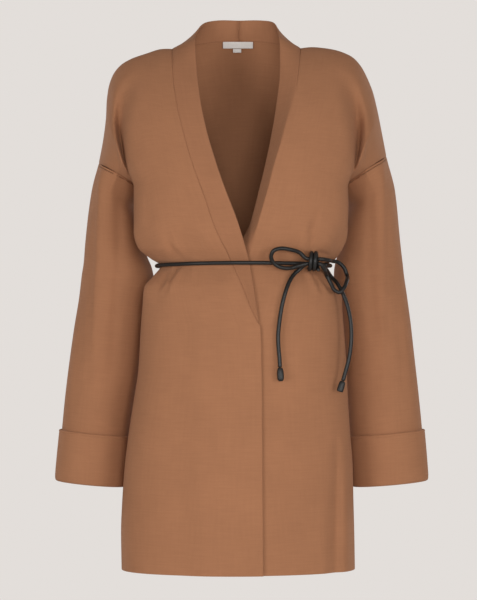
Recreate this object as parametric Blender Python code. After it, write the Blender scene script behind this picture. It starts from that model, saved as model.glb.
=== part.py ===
"""Long tie-front cardigan, filled out as if worn, with its cord belt tied.

Metres, +Z up. The front faces -Y and the wearer's left is at +X.
The origin is midway between the two points where a shoulder seam meets the neck.
Every sheet of cloth is a closed wall: its outer face, the same face moved in
by the thickness of the cloth, and a rim.
"""

import math

import bpy
import numpy as np

NAME = "tie_front_cardigan"
MM = 0.001

# Driving dimensions
CLOTH = 2.0 * MM
BAND_CLOTH = 2.8 * MM
CUFF_CLOTH = 3.0 * MM
SEAM_GAP = 0.4 * MM
LAP = 5.5 * MM
CUFF_DEEP = 80.0 * MM
CORD_RADIUS = 3.1 * MM
CORD_CLEAR = 1.2 * MM
UNDERARM_Z = -226.0
WAIST_Z = -349.0
SIDE_SEAM_Y = 20.0
FRONT_POWER = 2.35
BACK_POWER = 2.0
BAND_END_Z = -441.0

# Torso rings: height, right edge, left edge, front, back, depth of the widest place
TORSO = (
    (-836, -186, 185, -130, 128, -15),
    (-774, -187, 184, -129, 127, -15),
    (-728, -185, 183, -128, 126, -15),
    (-667, -180, 182, -126, 125, -16),
    (-621, -174, 179, -125, 124, -17),
    (-566, -165, 176, -123, 122, -18),
    (-514, -157, 174, -122, 120, -20),
    (-467, -154, 171, -120, 117, -22),
    (-406, -150, 165, -116, 109, -24),
    (-386, -147, 160, -112, 104, -25),
    (-368, -133, 150, -106, 97, -25),
    (-352, -122, 142, -101, 91, -25),
    (-341, -137, 156, -105, 94, -28),
    (-325, -155, 165, -113, 100, -38),
    (-294, -163, 174, -121, 108, -48),
    (-260, -163, 176, -123, 111, -54),
    (-226, -163, 175, -124, 112, -55),
)

# Heights of the rows of the torso, hem first
LOWER_ROWS = (
    -834, -826, -790, -745, -700, -655, -610, -567, -527, -492, -464,
    -441, -420, -402, -388, -375, -362, -354, -348, -340, -328, -314, -297,
    -277, -258, -243, -233, -226,
)
UPPER_ROWS = 10

# Top of the shoulder and outer line of the arm: across, depth, height
RIDGE_RIGHT = (
    (-104, 2, -4), (-121, 5, -4), (-146, 9, -11), (-172, 13, -20),
    (-186, 17, -28), (-197, 20, -40), (-205, 22, -58), (-209, 24, -80),
    (-211, 26, -115), (-216, 29, -152), (-223, 32, -187),
)
RIDGE_LEFT = (
    (102, 2, -3), (118, 5, -1), (138, 8, -2), (168, 12, -8),
    (187, 16, -17), (199, 19, -30), (209, 22, -48), (218, 24, -70),
    (225, 27, -97), (233, 30, -136), (241, 32, -176),
)
ARM_DEEP = 62.0
BACK_NECK_COLUMNS = 4
PANEL_COLUMNS = 13

# Neckband down the front: seam height, seam across, edge across, edge height,
# how far the free edge stands behind the seam
BAND_RIGHT = (
    (-4, -104, -67.5, 14, -2),
    (-53, -101, -64, -36, 12),
    (-101, -94, -58.5, -85, 8),
    (-147, -83, -48, -138, 3),
    (-192, -70, -33, -190, 1),
    (-226, -58, -21, -226, 0),
    (-285, -35, 1, -284, 0),
    (-339, -11, 17, -338, 0),
    (-385, 8.5, 26, -383, 0),
    (-419, 21, 31, -417, 0),
    (-441, 31, 34.5, -440, 0),
)
BAND_LEFT = (
    (-3, 102, 67.5, 17, -2),
    (-30, 99, 68, -10, 14),
    (-60, 95, 67.5, -45, 23),
    (-91, 88, 63.5, -84, 28),
    (-128, 77, 57, -128, 31),
    (-165, 67, 49, -170, 32),
    (-201, 56, 41, -206, 32),
    (-226, 50, 35, -230, 31),
    (-285, 33, 20, -286, 26),
    (-330, 20, -2, -328, 12),
    (-355, 8, -16, -356, 2),
    (-385, -3, -20, -384, 0),
    (-419, -15, -25, -418, 0),
    (-441, -25, -28.5, -440, 0),
)

# Neckband round the back: seam across, depth, height, then free edge the same
COLLAR_RIGHT = (
    (3, 75, 15, 3, 79, 49),
    (-35, 70, 13, -31, 74, 49),
    (-70, 51, 7, -52, 56, 44),
    (-93, 26, 1, -63, 28, 30),
    (-104, 2, -4, -67.5, 0, 14),
)
COLLAR_LEFT = (
    (3, 75, 15, 3, 79, 49),
    (41, 70, 13, 37, 74, 49),
    (75, 51, 7, 58, 56, 45),
    (95, 26, 1, 65, 29, 32),
    (102, 2, -3, 67.5, 0, 17),
)

# Front edges below the neckbands: height, across
EDGE_RIGHT = ((-836, 39), (-700, 38), (-560, 37.5), (-480, 36.5), (-441, 35))
EDGE_LEFT = ((-836, -31), (-560, -31), (-441, -29))

# Sleeves: height, outer edge, inner edge, middle depth, half depth, turn, rise
SLEEVE_RIGHT = (
    (-206, -224, -167, 30, 60, 0, 17),
    (-232, -231, -167, 34, 58, 5, 15),
    (-262, -237, -158, 40, 56, 9, 12),
    (-294, -242, -152, 46, 54, 12, 9),
    (-325, -246, -147, 50, 52, 12, 7),
    (-352, -249, -137, 52, 50, 12, 5),
    (-370, -252, -134, 51, 49, 12, 5),
    (-406, -256, -143, 48, 48, 12, 5),
    (-456, -264, -148, 46, 47, 10, 5),
    (-515, -272, -157, 44, 46, 8, 5),
    (-567, -278, -166.5, 42, 46, 6, 5),
    (-620, -283, -174, 40, 46, 5, 5),
    (-704, -291, -181, 38, 46, 4, 5),
)
SLEEVE_LEFT = (
    (-206, 246, 182, 30, 60, 0, 20),
    (-232, 252, 182, 34, 58, 5, 16),
    (-262, 257, 174, 40, 56, 9, 12),
    (-294, 261, 168, 46, 53, 12, 9),
    (-323, 265, 163, 50, 50, 12, 7),
    (-352, 269, 157, 52, 48, 12, 5),
    (-370, 271, 156, 51, 47, 12, 5),
    (-406, 276, 164, 48, 46, 12, 5),
    (-453, 282, 170, 46, 45, 10, 5),
    (-500, 287, 173, 44, 44, 8, 5),
    (-555, 293, 177, 42, 43, 6, 5),
    (-617, 299, 182, 40, 43, 5, 5),
    (-702, 306, 188, 38, 43, 4, 5),
)
SLEEVE_ROWS = (
    0, 7, 18, 34, 54, 80, 108, 134, 158, 184, 214, 252, 296, 344, 394, 430, 462, 493,
)
CUFF_TOP = 415.0

# Turned-up cuff in section: out from the sleeve, down from the top of the cuff
CUFF_SECTION = (
    (0.7, 0.0), (2.2, -0.6), (3.7, 0.0), (4.1, 12.0), (4.3, 40.0), (4.1, 66.0), (3.5, 77.0),
    (2.0, 80.5), (-0.4, 81.4), (-2.2, 80.6), (-2.4, 79.5), (0.1, 79.5), (0.7, 77.0), (0.7, 40.0),
)

# Belt cord and bow, through points: across, height, out from the body.
# Where a piece hangs clear of the body the depth is read at the limit across.
BOW_LIMIT = 150.0
KNOT_OUT = 15.5
LOOP_RIGHT = (
    (115.0, -342.7, 0), (108.5, -341.8, 0), (98, -333, 6), (82, -328, 10), (67, -326.5, 10),
    (57, -330, 12.5), (53, -338, 13.7), (54.5, -345, 13.7), (60, -351.5, 13.7),
    (68, -355.5, 13.5), (78, -357, 13), (89, -355.5, 12), (99, -352.5, 9),
    (108.5, -350, 0.5), (115.0, -349.3, 0),
)
LOOP_LEFT = (
    (124.5, -342.7, 0), (131.5, -342.7, 0.5), (141, -344, 10), (150, -345, 14), (161, -347.5, 14),
    (169, -355, 14), (173.5, -366, 14), (172, -378, 15), (167, -388, 16),
    (160, -394.5, 16), (153, -391, 17), (147.5, -381, 17), (141, -369, 17),
    (135.5, -358, 10), (130.5, -351, 0.5), (124.5, -349.3, 0),
)
TAIL_RIGHT = (
    (115.0, -349.3, -6.6), (108.5, -350.3, -6.3), (98.5, -358, 1), (89, -366.5, 4),
    (81.5, -378, 4.5),
    (76, -392, 4.5), (72, -406, 4.5), (69, -420, 4.5), (66, -440, 4.5), (64, -460, 4.5),
    (64.5, -480, 4.5), (66, -497, 5), (66.8, -511, 6),
)
TAIL_LEFT = (
    (124.5, -349.3, -6.6), (131, -350.6, -6.3), (139.5, -358, 1), (149, -370, 7), (158, -381, 8),
    (165, -394, 6), (170, -406, 5), (174, -419, 5), (177.5, -437, 5),
    (179, -458, 5), (178, -480, 5), (174.5, -501, 5), (169, -521, 5), (165.5, -533, 6),
)
TIP_LONG = 21.0
TIP_WIDE = 10.5
TIP_THICK = 7.0
TIP_LEFT_LONG = 17.0
BELT_LEVEL = ((0, -352), (30, -350.5), (60, -349), (90, -348.5), (150, -351), (180, -352.5),
              (220, -352.5), (270, -352), (320, -352), (360, -352))

# Colours
KNIT = (0.376, 0.168, 0.083)
KNIT_DARK = (0.33, 0.145, 0.072)
LEATHER = (0.018, 0.017, 0.016)
LABEL_WHITE = (0.74, 0.70, 0.66)


def smooth_at(xs, ys, x):
    """Values at x of a smooth curve through the points, with no overshoot."""
    xs = np.asarray(xs, float)
    ys = np.asarray(ys, float)
    if xs[0] > xs[-1]:
        xs = xs[::-1]
        ys = ys[::-1]
    step = np.diff(xs)
    slope = np.diff(ys) / step
    lean = np.zeros_like(ys)
    lean[0] = slope[0]
    lean[-1] = slope[-1]
    product = slope[:-1] * slope[1:]
    total = slope[:-1] + slope[1:]
    safe = np.where(np.abs(total) < 1e-12, 1.0, total)
    lean[1:-1] = np.where(product > 0.0, 2.0 * product / safe, 0.0)
    x = np.clip(np.asarray(x, float), xs[0], xs[-1])
    place = np.clip(np.searchsorted(xs, x, side="right") - 1, 0, len(step) - 1)
    h = step[place]
    f = (x - xs[place]) / h
    return (
        (2.0 * f**3 - 3.0 * f**2 + 1.0) * ys[place]
        + (f**3 - 2.0 * f**2 + f) * h * lean[place]
        + (3.0 * f**2 - 2.0 * f**3) * ys[place + 1]
        + (f**3 - f**2) * h * lean[place + 1]
    )


def column(table, index, x):
    """One column of a table, read at x of its first column."""
    rows = np.asarray(table, float)
    return smooth_at(rows[:, 0], rows[:, index], x)


def ease(x, low, high):
    """Soft step from 0 at low to 1 at high."""
    f = np.clip((np.asarray(x, float) - low) / (high - low), 0.0, 1.0)
    return f * f * (3.0 - 2.0 * f)


def bump(x, middle, width):
    """Soft hump, 1 at the middle."""
    return np.exp(-(((np.asarray(x, float) - middle) / width) ** 2))


def line_through(points, count, shares=None):
    """Points spaced evenly, or at the given shares of length, on a smooth line."""
    points = np.asarray(points, float)
    chord = np.concatenate(([0.0], np.cumsum(np.linalg.norm(np.diff(points, axis=0), axis=1))))
    fine = np.linspace(0.0, chord[-1], 40 * len(points))
    dense = np.stack([spline(chord, points[:, k], fine) for k in range(3)], axis=1)
    run = np.concatenate(([0.0], np.cumsum(np.linalg.norm(np.diff(dense, axis=0), axis=1))))
    if shares is None:
        shares = np.linspace(0.0, 1.0, count)
    at = np.asarray(shares) * run[-1]
    return np.stack([np.interp(at, run, dense[:, k]) for k in range(3)], axis=1)


def spline(xs, ys, x):
    """Values at x of a curve through the points, with slopes from both sides."""
    lean = np.gradient(ys, xs)
    place = np.clip(np.searchsorted(xs, x, side="right") - 1, 0, len(xs) - 2)
    h = xs[place + 1] - xs[place]
    f = (x - xs[place]) / h
    return (
        (2.0 * f**3 - 3.0 * f**2 + 1.0) * ys[place]
        + (f**3 - 2.0 * f**2 + f) * h * lean[place]
        + (3.0 * f**2 - 2.0 * f**3) * ys[place + 1]
        + (f**3 - f**2) * h * lean[place + 1]
    )


def unit(vectors):
    """The same directions, each one long."""
    size = np.linalg.norm(vectors, axis=-1, keepdims=True)
    return vectors / np.maximum(size, 1e-9)


def folds(t, z):
    """Soft folds of the torso in millimetres: gathers at the belt, waves to the hem."""
    above = bump(z, WAIST_Z + 34.0, 20.0)
    below = bump(z, WAIST_Z - 40.0, 28.0)
    gathers = above * np.sin(11.0 * t + 0.6) + below * np.sin(11.0 * t + 2.0)
    gathers = gathers + 0.5 * (above + below) * np.sin(7.0 * t + 1.0)
    skirt = ease(z, -430.0, -800.0)
    waves = 2.6 * np.sin(3.0 * t + 2.2) + 1.6 * np.sin(5.0 * t + 0.4)
    left_fold = -5.0 * bump(t, 0.62, 0.10) * ease(z, -600.0, -800.0)
    return 2.2 * gathers + skirt * waves + left_fold


def side_angle(z, side):
    """Angle of the side seam: behind the widest place, at a set depth."""
    widest = column(TORSO, 5, z)
    back = column(TORSO, 4, z)
    behind = np.arcsin((SIDE_SEAM_Y - widest) / (back - widest))
    return np.where(side > 0, -behind, math.pi + behind)


def torso(t, z, out=0.0):
    """Point of the body of the cardigan at angle t and height z, in millimetres.

    The angle runs from the wearer's left over the front to the right and back.
    Each ring is a rounded shape with its own front, back and sides.
    """
    t, z, out = np.broadcast_arrays(np.asarray(t, float), np.asarray(z, float), out)
    right, left, front, back, widest = (column(TORSO, k, z) for k in range(1, 6))
    middle = 0.5 * (right + left)
    half = 0.5 * (left - right)
    sine = np.sin(t)
    forward = sine >= 0.0
    deep = np.where(forward, widest - front, back - widest)
    power = np.where(forward, FRONT_POWER, BACK_POWER)
    way = unit(np.stack([half * np.cos(t), deep * sine], axis=-1))
    reach = (np.abs(way[..., 0]) / half) ** power + (np.abs(way[..., 1]) / deep) ** power
    reach = reach ** (-1.0 / power)
    for side in (1, -1):
        seam = side_angle(z, side)
        apart = np.abs(np.angle(np.exp(1j * (t - seam))))
        flare = 10.0 * np.exp(-np.clip(UNDERARM_Z - z, 0.0, None) / 6.0)
        reach = reach + flare * bump(apart, 0.0, 0.09)
    reach = reach + folds(t, z) + out
    x = middle + reach * way[..., 0]
    y = widest - reach * way[..., 1]
    return np.stack([x, y, z], axis=-1)


def front_angle(x, z):
    """Angle of the front of the torso at a place across and a height."""
    right, left, front, back, widest = (column(TORSO, k, z) for k in range(1, 6))
    half = 0.5 * (left - right)
    share = np.clip((x - 0.5 * (right + left)) / half, -0.999, 0.999)
    rise = (1.0 - np.abs(share) ** FRONT_POWER) ** (1.0 / FRONT_POWER)
    return np.arctan2(rise, share)


def lap_out(x, z, side):
    """How far the right front stands out over the left one."""
    if side > 0:
        return np.zeros(np.broadcast(x, z).shape)
    return LAP / MM * ease(x, -95.0, -45.0) * ease(z, -240.0, -300.0)


def band_table(side):
    """Front neckband rows of one side."""
    return BAND_LEFT if side > 0 else BAND_RIGHT


def seam_across(z, side):
    """Where the front edge of a panel lies: neckband seam, then front edge."""
    edge = EDGE_LEFT if side > 0 else EDGE_RIGHT
    below = column(edge, 1, z)
    above = column(band_table(side), 1, z)
    return np.where(z < BAND_END_Z - 0.5, below, above)


def chest_fall(share, power):
    """How far a column has turned back from the front to the shoulder, 0 to 1."""
    return 1.0 - (1.0 - np.clip(share, 0.0, 1.0) ** power) ** (1.0 / power)


def front_seam_point(z, side):
    """Point of the neckband seam or front edge at a height."""
    z = np.asarray(z, float)
    low = np.minimum(z, UNDERARM_Z)
    x_low = seam_across(low, side)
    base = torso(front_angle(x_low, low), low, lap_out(x_low, low, side))
    top = band_table(side)[0]
    share = (z - UNDERARM_Z) / (top[0] - UNDERARM_Z)
    start = torso(front_angle(seam_across(np.float64(UNDERARM_Z), side), UNDERARM_Z), UNDERARM_Z)
    y_high = start[1] + (2.0 - start[1]) * chest_fall(share, 1.5)
    x_high = seam_across(np.maximum(z, UNDERARM_Z), side)
    high = np.stack([x_high, y_high, z], axis=-1)
    return np.where((z > UNDERARM_Z)[..., None], high, base)


def arm_ring(side, share, front):
    """Point of the armhole seam from the underarm, share 0, to the outer arm, 1."""
    under = torso(side_angle(UNDERARM_Z, side), UNDERARM_Z)
    outer = np.asarray((RIDGE_LEFT if side > 0 else RIDGE_RIGHT)[-1], float)
    middle = 0.5 * (under + outer)
    half = 0.5 * (outer - under)
    turn = np.pi * np.asarray(share, float)[..., None]
    sway = np.array([0.0, -ARM_DEEP if front else ARM_DEEP, 0.0])
    along = np.cos(turn)
    along = np.where(along > 0.0, np.abs(along) ** 1.8, along)
    return middle - half * along + sway * np.sin(turn)


def upper_rows():
    """Shares of the climb from the underarm level to the shoulder, as angles."""
    return np.linspace(0.0, 1.0, UPPER_ROWS + 1)


def yoke(side, front, columns):
    """Grid of the body above the underarm: rows upward, columns to the arm.

    A column climbs from the ring at the underarm to the top line, turning
    back as it nears it. Its foot and head are drawn onto the armhole seam at
    the arm, and onto the neckband seam at the front. A trough in the cloth
    between chest and arm fades towards the shoulder.
    """
    rise = upper_rows()[:, None]
    ridge = RIDGE_LEFT if side > 0 else RIDGE_RIGHT
    head = line_through(ridge, PANEL_COLUMNS + 1)
    end = side_angle(UNDERARM_Z, side)
    if front:
        start = front_angle(seam_across(np.float64(UNDERARM_Z), side), UNDERARM_Z)
        v = np.linspace(0.0, 1.0, PANEL_COLUMNS + 1)
        neck = np.zeros_like(v)
    else:
        collar = np.asarray(COLLAR_LEFT if side > 0 else COLLAR_RIGHT, float)[:, :3]
        head = np.concatenate([line_through(collar, BACK_NECK_COLUMNS + 1)[:-1], head])
        start = -0.5 * math.pi if side > 0 else 1.5 * math.pi
        v = np.linspace(0.0, 1.0, len(head))
        neck = 1.0 - ease(np.arange(len(head)), 0.0, BACK_NECK_COLUMNS + 0.5)
    angle = start + (end - start) * v
    foot = torso(angle, np.full_like(v, UNDERARM_Z))
    power = 1.5 + 0.5 * ease(v, 0.3, 0.9)
    climb = np.sin(0.5 * np.pi * rise) ** 1.25
    fall = (1.0 - neck) * chest_fall(climb, power) + neck * climb**2.4
    x = foot[:, 0] + (head[:, 0] - foot[:, 0]) * climb
    y = foot[:, 1] + (head[:, 1] - foot[:, 1]) * fall
    z = foot[:, 2] + (head[:, 2] - foot[:, 2]) * climb
    grid = np.stack([x, y, z], axis=-1)
    arm = arm_ring(side, upper_rows(), front)
    near = ease(v, 0.52, 1.0)[None, :, None]
    grid = grid + near * (arm - grid[:, -1])[:, None, :]
    if front:
        seam = front_seam_point(UNDERARM_Z + (head[0, 2] - UNDERARM_Z) * climb[:, 0], side)
        pull = ((1.0 - v) ** 3)[None, :, None]
        grid = grid + pull * (seam - grid[:, 0])[:, None, :]
    line = 0.88 - (0.85 if front else 0.30) * rise
    depth = (26.0 if front else -14.0) * ease(rise, 0.02, 0.34) * (1.0 - ease(rise, 0.40, 0.72))
    grid[..., 1] += depth * bump(v[None, :], line, 0.11) * (1.0 - ease(v[None, :], 0.93, 1.0))
    return grid, v, angle


def torso_grid(side, front):
    """Grid of a front, or of half the back, from the hem up to the shoulder."""
    upper, v, angle = yoke(side, front, PANEL_COLUMNS)
    z = np.asarray(LOWER_ROWS, float)[:, None]
    end = side_angle(z, side)
    if front:
        start = front_angle(seam_across(z, side), z)
    else:
        start = np.full_like(z, -0.5 * math.pi if side > 0 else 1.5 * math.pi)
    t = start + (end - start) * v[None, :]
    flat = torso(t, z)
    out = lap_out(flat[..., 0], z + 0.0 * t, side) if front else 0.0
    lower = torso(t, z, out)
    return np.concatenate([lower[:-1], upper])


def grid_normals(grid, closed=False):
    """Directions straight out of a grid, before their sign is settled."""
    if closed:
        along = np.roll(grid, -1, axis=1) - np.roll(grid, 1, axis=1)
    else:
        along = np.gradient(grid, axis=1)
    return unit(np.cross(along, np.gradient(grid, axis=0)))


def average(*edges):
    """Give edges that meet the same directions."""
    mean = unit(sum(np.array(edge) for edge in edges))
    for edge in edges:
        edge[...] = mean


def sleeve_ring(side, down, turn):
    """Point of a sleeve a distance down from its seam, in millimetres.

    The turn runs from the underarm over the front to the outer arm and round
    the back. The first rows pass from the armhole seam to the sleeve's own rings.
    """
    table = SLEEVE_LEFT if side > 0 else SLEEVE_RIGHT
    down, turn = np.broadcast_arrays(np.asarray(down, float), np.asarray(turn, float))
    height = table[0][0] - down
    outer, inner, mid_y, deep, twist, rise = (column(table, k, height) for k in range(1, 7))
    half = 0.5 * (outer - inner)
    swing = np.radians(twist) * side
    across = -half * np.cos(turn)
    ahead = -deep * np.sin(turn)
    x = 0.5 * (outer + inner) + across * np.cos(swing) - ahead * np.sin(swing)
    y = mid_y + across * np.sin(swing) + ahead * np.cos(swing)
    z = height - rise * np.cos(turn)
    return np.stack([x, y, z], axis=-1)


def sleeve_grid(side, seam):
    """Grid of a sleeve: rings downward from the armhole seam."""
    count = len(seam)
    turn = np.arange(count) * 2.0 * np.pi / count
    down = np.asarray(SLEEVE_ROWS, float)
    grid = sleeve_ring(side, down[:, None], turn[None, :])
    first = sleeve_ring(side, 0.0, turn)
    fade = (1.0 - ease(down, 0.0, 38.0))[:, None, None]
    grid = grid + fade * (seam - first)[None]
    return grid


def edge_away(edge, inside):
    """Directions straight away from an edge, towards the row inside it."""
    way = unit(np.gradient(edge, axis=0))
    step = inside - edge
    return unit(step - way * np.sum(step * way, axis=-1, keepdims=True))


def pull_back(grid, sides, gap):
    """Draw the named edges of a grid back into it by a gap."""
    for name in sides:
        if name == "low":
            grid[0] += edge_away(grid[0], grid[1]) * gap
        elif name == "high":
            grid[-1] += edge_away(grid[-1], grid[-2]) * gap
        elif name == "first":
            grid[:, 0] += edge_away(grid[:, 0], grid[:, 1]) * gap
        else:
            grid[:, -1] += edge_away(grid[:, -1], grid[:, -2]) * gap


def make_material(name, colour, roughness):
    """Plain material of one part."""
    material = bpy.data.materials.new(name)
    material.use_nodes = True
    shader = material.node_tree.nodes["Principled BSDF"]
    shader.inputs["Base Color"].default_value = (*colour, 1.0)
    shader.inputs["Roughness"].default_value = roughness
    shader.inputs["Metallic"].default_value = 0.0
    return material


def add_object(name, data, colour, roughness):
    """Put one part in the collection with its own material."""
    data.materials.append(make_material(name, colour, roughness))
    part = bpy.data.objects.new(name, data)
    bpy.data.collections[NAME].objects.link(part)
    return part


def add_mesh(name, points, faces, colour, roughness, smooth=True):
    """Closed mesh in metres, with its faces turned outward."""
    mesh = bpy.data.meshes.new(name)
    mesh.from_pydata([tuple(p) for p in np.asarray(points) * MM], [], faces)
    mesh.update()
    a, b, c = (np.asarray(points)[[f[k] for f in faces]] for k in range(3))
    volume = np.sum(a * np.cross(b, c))
    quads = [k for k, f in enumerate(faces) if len(f) == 4]
    if quads:
        q = np.asarray([faces[k] for k in quads])
        p = np.asarray(points)
        volume += np.sum(p[q[:, 0]] * np.cross(p[q[:, 2]], p[q[:, 3]]))
    if volume < 0.0:
        mesh.flip_normals()
    for polygon in mesh.polygons:
        polygon.use_smooth = smooth
    return add_object(name, mesh, colour, roughness)


def wall(name, grid, normals, thick, colour, closed=False):
    """Closed wall of cloth from its outer grid."""
    rows, columns = grid.shape[:2]
    outer = grid.reshape(-1, 3)
    inner = (grid - normals * thick / MM).reshape(-1, 3)
    shift = rows * columns
    faces = []
    last = columns if closed else columns - 1
    for i in range(rows - 1):
        for j in range(last):
            k = (j + 1) % columns
            a, b = i * columns + j, i * columns + k
            c, d = (i + 1) * columns + k, (i + 1) * columns + j
            faces.append((a, b, c, d))
            faces.append((shift + d, shift + c, shift + b, shift + a))
    for j in range(last):
        k = (j + 1) % columns
        faces.append((k, j, shift + j, shift + k))
        top = (rows - 1) * columns
        faces.append((top + j, top + k, shift + top + k, shift + top + j))
    if not closed:
        for i in range(rows - 1):
            a, b = i * columns, (i + 1) * columns
            faces.append((a, b, shift + b, shift + a))
            a, b = a + columns - 1, b + columns - 1
            faces.append((b, a, shift + a, shift + b))
    return add_mesh(name, np.concatenate([outer, inner]), faces, colour, 0.85)


def ring_solid(name, sections, colour, roughness):
    """Closed solid swept through rings: sections run round, points run along."""
    count, around = sections.shape[:2]
    faces = []
    for i in range(count):
        for j in range(around):
            n, m = (i + 1) % count, (j + 1) % around
            faces.append((i * around + j, n * around + j, n * around + m, i * around + m))
    return add_mesh(name, sections.reshape(-1, 3), faces, colour, roughness)


def capped_loft(name, sections, colour, roughness):
    """Closed solid through rings with a flat cap at either end."""
    count, around = sections.shape[:2]
    faces = []
    for i in range(count - 1):
        for j in range(around):
            m = (j + 1) % around
            a, b = i * around, (i + 1) * around
            faces.append((a + j, a + m, b + m, b + j))
    faces.append(tuple(range(around))[::-1])
    faces.append(tuple((count - 1) * around + j for j in range(around)))
    mesh = add_mesh(name, sections.reshape(-1, 3), faces, colour, roughness)
    return mesh


def cord(name, points, colour=LEATHER):
    """Round leather cord through points in millimetres."""
    data = bpy.data.curves.new(name, "CURVE")
    data.dimensions = "3D"
    data.bevel_depth = CORD_RADIUS
    data.bevel_resolution = 2
    data.use_fill_caps = True
    track = data.splines.new("POLY")
    track.points.add(len(points) - 1)
    for spot, point in zip(track.points, points):
        spot.co = (*(np.asarray(point) * MM), 1.0)
    track.use_smooth = True
    return add_object(name, data, colour, 0.42)


def band_grid(side, front_heights):
    """Grid of one half of the neckband: rows from the back neck down the front.

    Columns run from the seam to the free edge, with a slight crown between.
    """
    collar = np.asarray(COLLAR_LEFT if side > 0 else COLLAR_RIGHT, float)
    seam = line_through(collar[:, :3], BACK_NECK_COLUMNS + 1)
    edge = line_through(collar[:, 3:], BACK_NECK_COLUMNS + 1)
    z = np.asarray(front_heights, float)
    table = band_table(side)
    front_seam = front_seam_point(z, side)
    x_edge, z_edge, behind = (column(table, k, z) for k in (2, 3, 4))
    low = np.minimum(z, UNDERARM_Z)
    z_low = np.minimum(z_edge, UNDERARM_Z)
    face = torso(front_angle(x_edge, z_low), z_low, lap_out(x_edge, z_low, side))
    follow = ease(z, UNDERARM_Z + 30.0, UNDERARM_Z - 10.0)
    y_edge = front_seam[:, 1] * (1.0 - follow) + face[:, 1] * follow + behind
    front_edge = np.stack([x_edge, y_edge, z_edge], axis=-1)
    seam = np.concatenate([seam[:-1], front_seam])
    edge = np.concatenate([edge[:-1], front_edge])
    across = np.linspace(0.0, 1.0, 4)[None, :, None]
    grid = seam[:, None, :] * (1.0 - across) + edge[:, None, :] * across
    return grid


def build_shell():
    """Fronts, back, sleeves, cuffs and neckbands."""
    lower = len(LOWER_ROWS)
    grids = {}
    for side, word in ((-1, "right"), (1, "left")):
        grids["front_" + word] = torso_grid(side, True)
    right_half = torso_grid(-1, False)
    left_half = torso_grid(1, False)
    grids["back"] = np.concatenate([right_half[:, ::-1], left_half[:, 1:]], axis=1)
    normals = {name: grid_normals(grid) for name, grid in grids.items()}
    for name in normals:
        grid = grids[name]
        middle = grid.mean(axis=(0, 1))
        middle[1] = 0.0
        sign = np.sign(np.sum(normals[name][: lower - 8] * (grid[: lower - 8] - middle)))
        normals[name] *= sign
    base = lower - 1
    heads = {}
    for side, word in ((-1, "right"), (1, "left")):
        front = grids["front_" + word]
        back = grids["back"]
        edge = 0 if side < 0 else -1
        front_arm = front[base:, -1]
        back_arm = back[base:, edge]
        seam = np.concatenate([front_arm, back_arm[-2:0:-1]])
        sleeve = sleeve_grid(side, seam)
        direction = grid_normals(sleeve, closed=True)
        centre = sleeve.mean(axis=1, keepdims=True)
        direction *= np.sign(np.sum(direction * (sleeve - centre)))
        n_front = normals["front_" + word]
        n_back = normals["back"]
        ridge = slice(0, PANEL_COLUMNS + 1) if side < 0 else slice(-PANEL_COLUMNS - 1, None)
        for _ in range(3):
            average(n_front[:base + 1, -1], n_back[:base + 1, edge])
            top_back = n_back[-1, ridge]
            if side < 0:
                top_back = top_back[::-1]
            average(n_front[-1], top_back)
            count = UPPER_ROWS
            average(n_front[base:, -1], direction[0, : count + 1])
            hind = direction[0, count:]
            average(n_back[base + 1:, edge][::-1], hind)
            average(n_back[base, edge], n_front[base, -1], direction[0, 0])
            average(n_back[-1, edge], n_front[-1, -1], direction[0, count])
        grids["sleeve_" + word] = sleeve
        normals["sleeve_" + word] = direction
        heads[word] = front[:, 0, 2]
    for side, word in ((-1, "right"), (1, "left")):
        z = heads[word]
        first = int(np.argmax(np.asarray(LOWER_ROWS) >= BAND_END_Z - 0.5))
        band = band_grid(side, z[first:][::-1])
        direction = grid_normals(band)
        face = direction[-6:, :, 1]
        direction *= -np.sign(np.sum(face))
        seam = direction[BACK_NECK_COLUMNS:, 0]
        average(normals["front_" + word][first:, 0][::-1], seam)
        middle = PANEL_COLUMNS + BACK_NECK_COLUMNS
        neck = normals["back"][-1]
        part = neck[middle - BACK_NECK_COLUMNS: middle + 1][::-1] if side < 0 else \
            neck[middle: middle + BACK_NECK_COLUMNS + 1]
        average(part[:-1], direction[:BACK_NECK_COLUMNS, 0])
        grids["neckband_" + word] = band
        normals["neckband_" + word] = direction
    average(normals["neckband_right"][0], normals["neckband_left"][0])
    for side, word in ((-1, "right"), (1, "left")):
        corner = PANEL_COLUMNS if side < 0 else -PANEL_COLUMNS - 1
        average(normals["back"][-1, corner], normals["front_" + word][-1, 0],
                normals["neckband_" + word][BACK_NECK_COLUMNS, 0])
    for word in ("right", "left"):
        gap = 0.5 * SEAM_GAP / MM
        pull_back(grids["front_" + word], ("first", "last", "high"), gap)
        pull_back(grids["sleeve_" + word], ("low",), gap)
        pull_back(grids["neckband_" + word], ("low", "first"), 3.4 * gap)
    pull_back(grids["back"], ("first", "last", "high"), 0.5 * SEAM_GAP / MM)
    return grids, normals


def build_cuff(side, word):
    """Turned-up cuff: a folded band swept round the end of the sleeve."""
    turn = np.arange(2 * UPPER_ROWS) * 2.0 * np.pi / (2 * UPPER_ROWS)
    section = np.asarray(CUFF_SECTION, float)
    down = CUFF_TOP + section[:, 1]
    ring = sleeve_ring(side, down[None, :], turn[:, None])
    table = SLEEVE_LEFT if side > 0 else SLEEVE_RIGHT
    middle = sleeve_ring(side, down[None, :], turn[:, None] + np.pi)
    centre = 0.5 * (ring + middle)
    step = 0.02
    around = sleeve_ring(side, down[None, :], turn[:, None] + step) - sleeve_ring(
        side, down[None, :], turn[:, None] - step)
    along = sleeve_ring(side, down[None, :] + 1.0, turn[:, None]) - sleeve_ring(
        side, down[None, :] - 1.0, turn[:, None])
    normal = unit(np.cross(around, along))
    normal *= np.sign(np.sum(normal * (ring - centre)))
    points = ring + normal * section[None, :, 0, None]
    return ring_solid("cuff_" + word, points, KNIT, 0.85)


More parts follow.
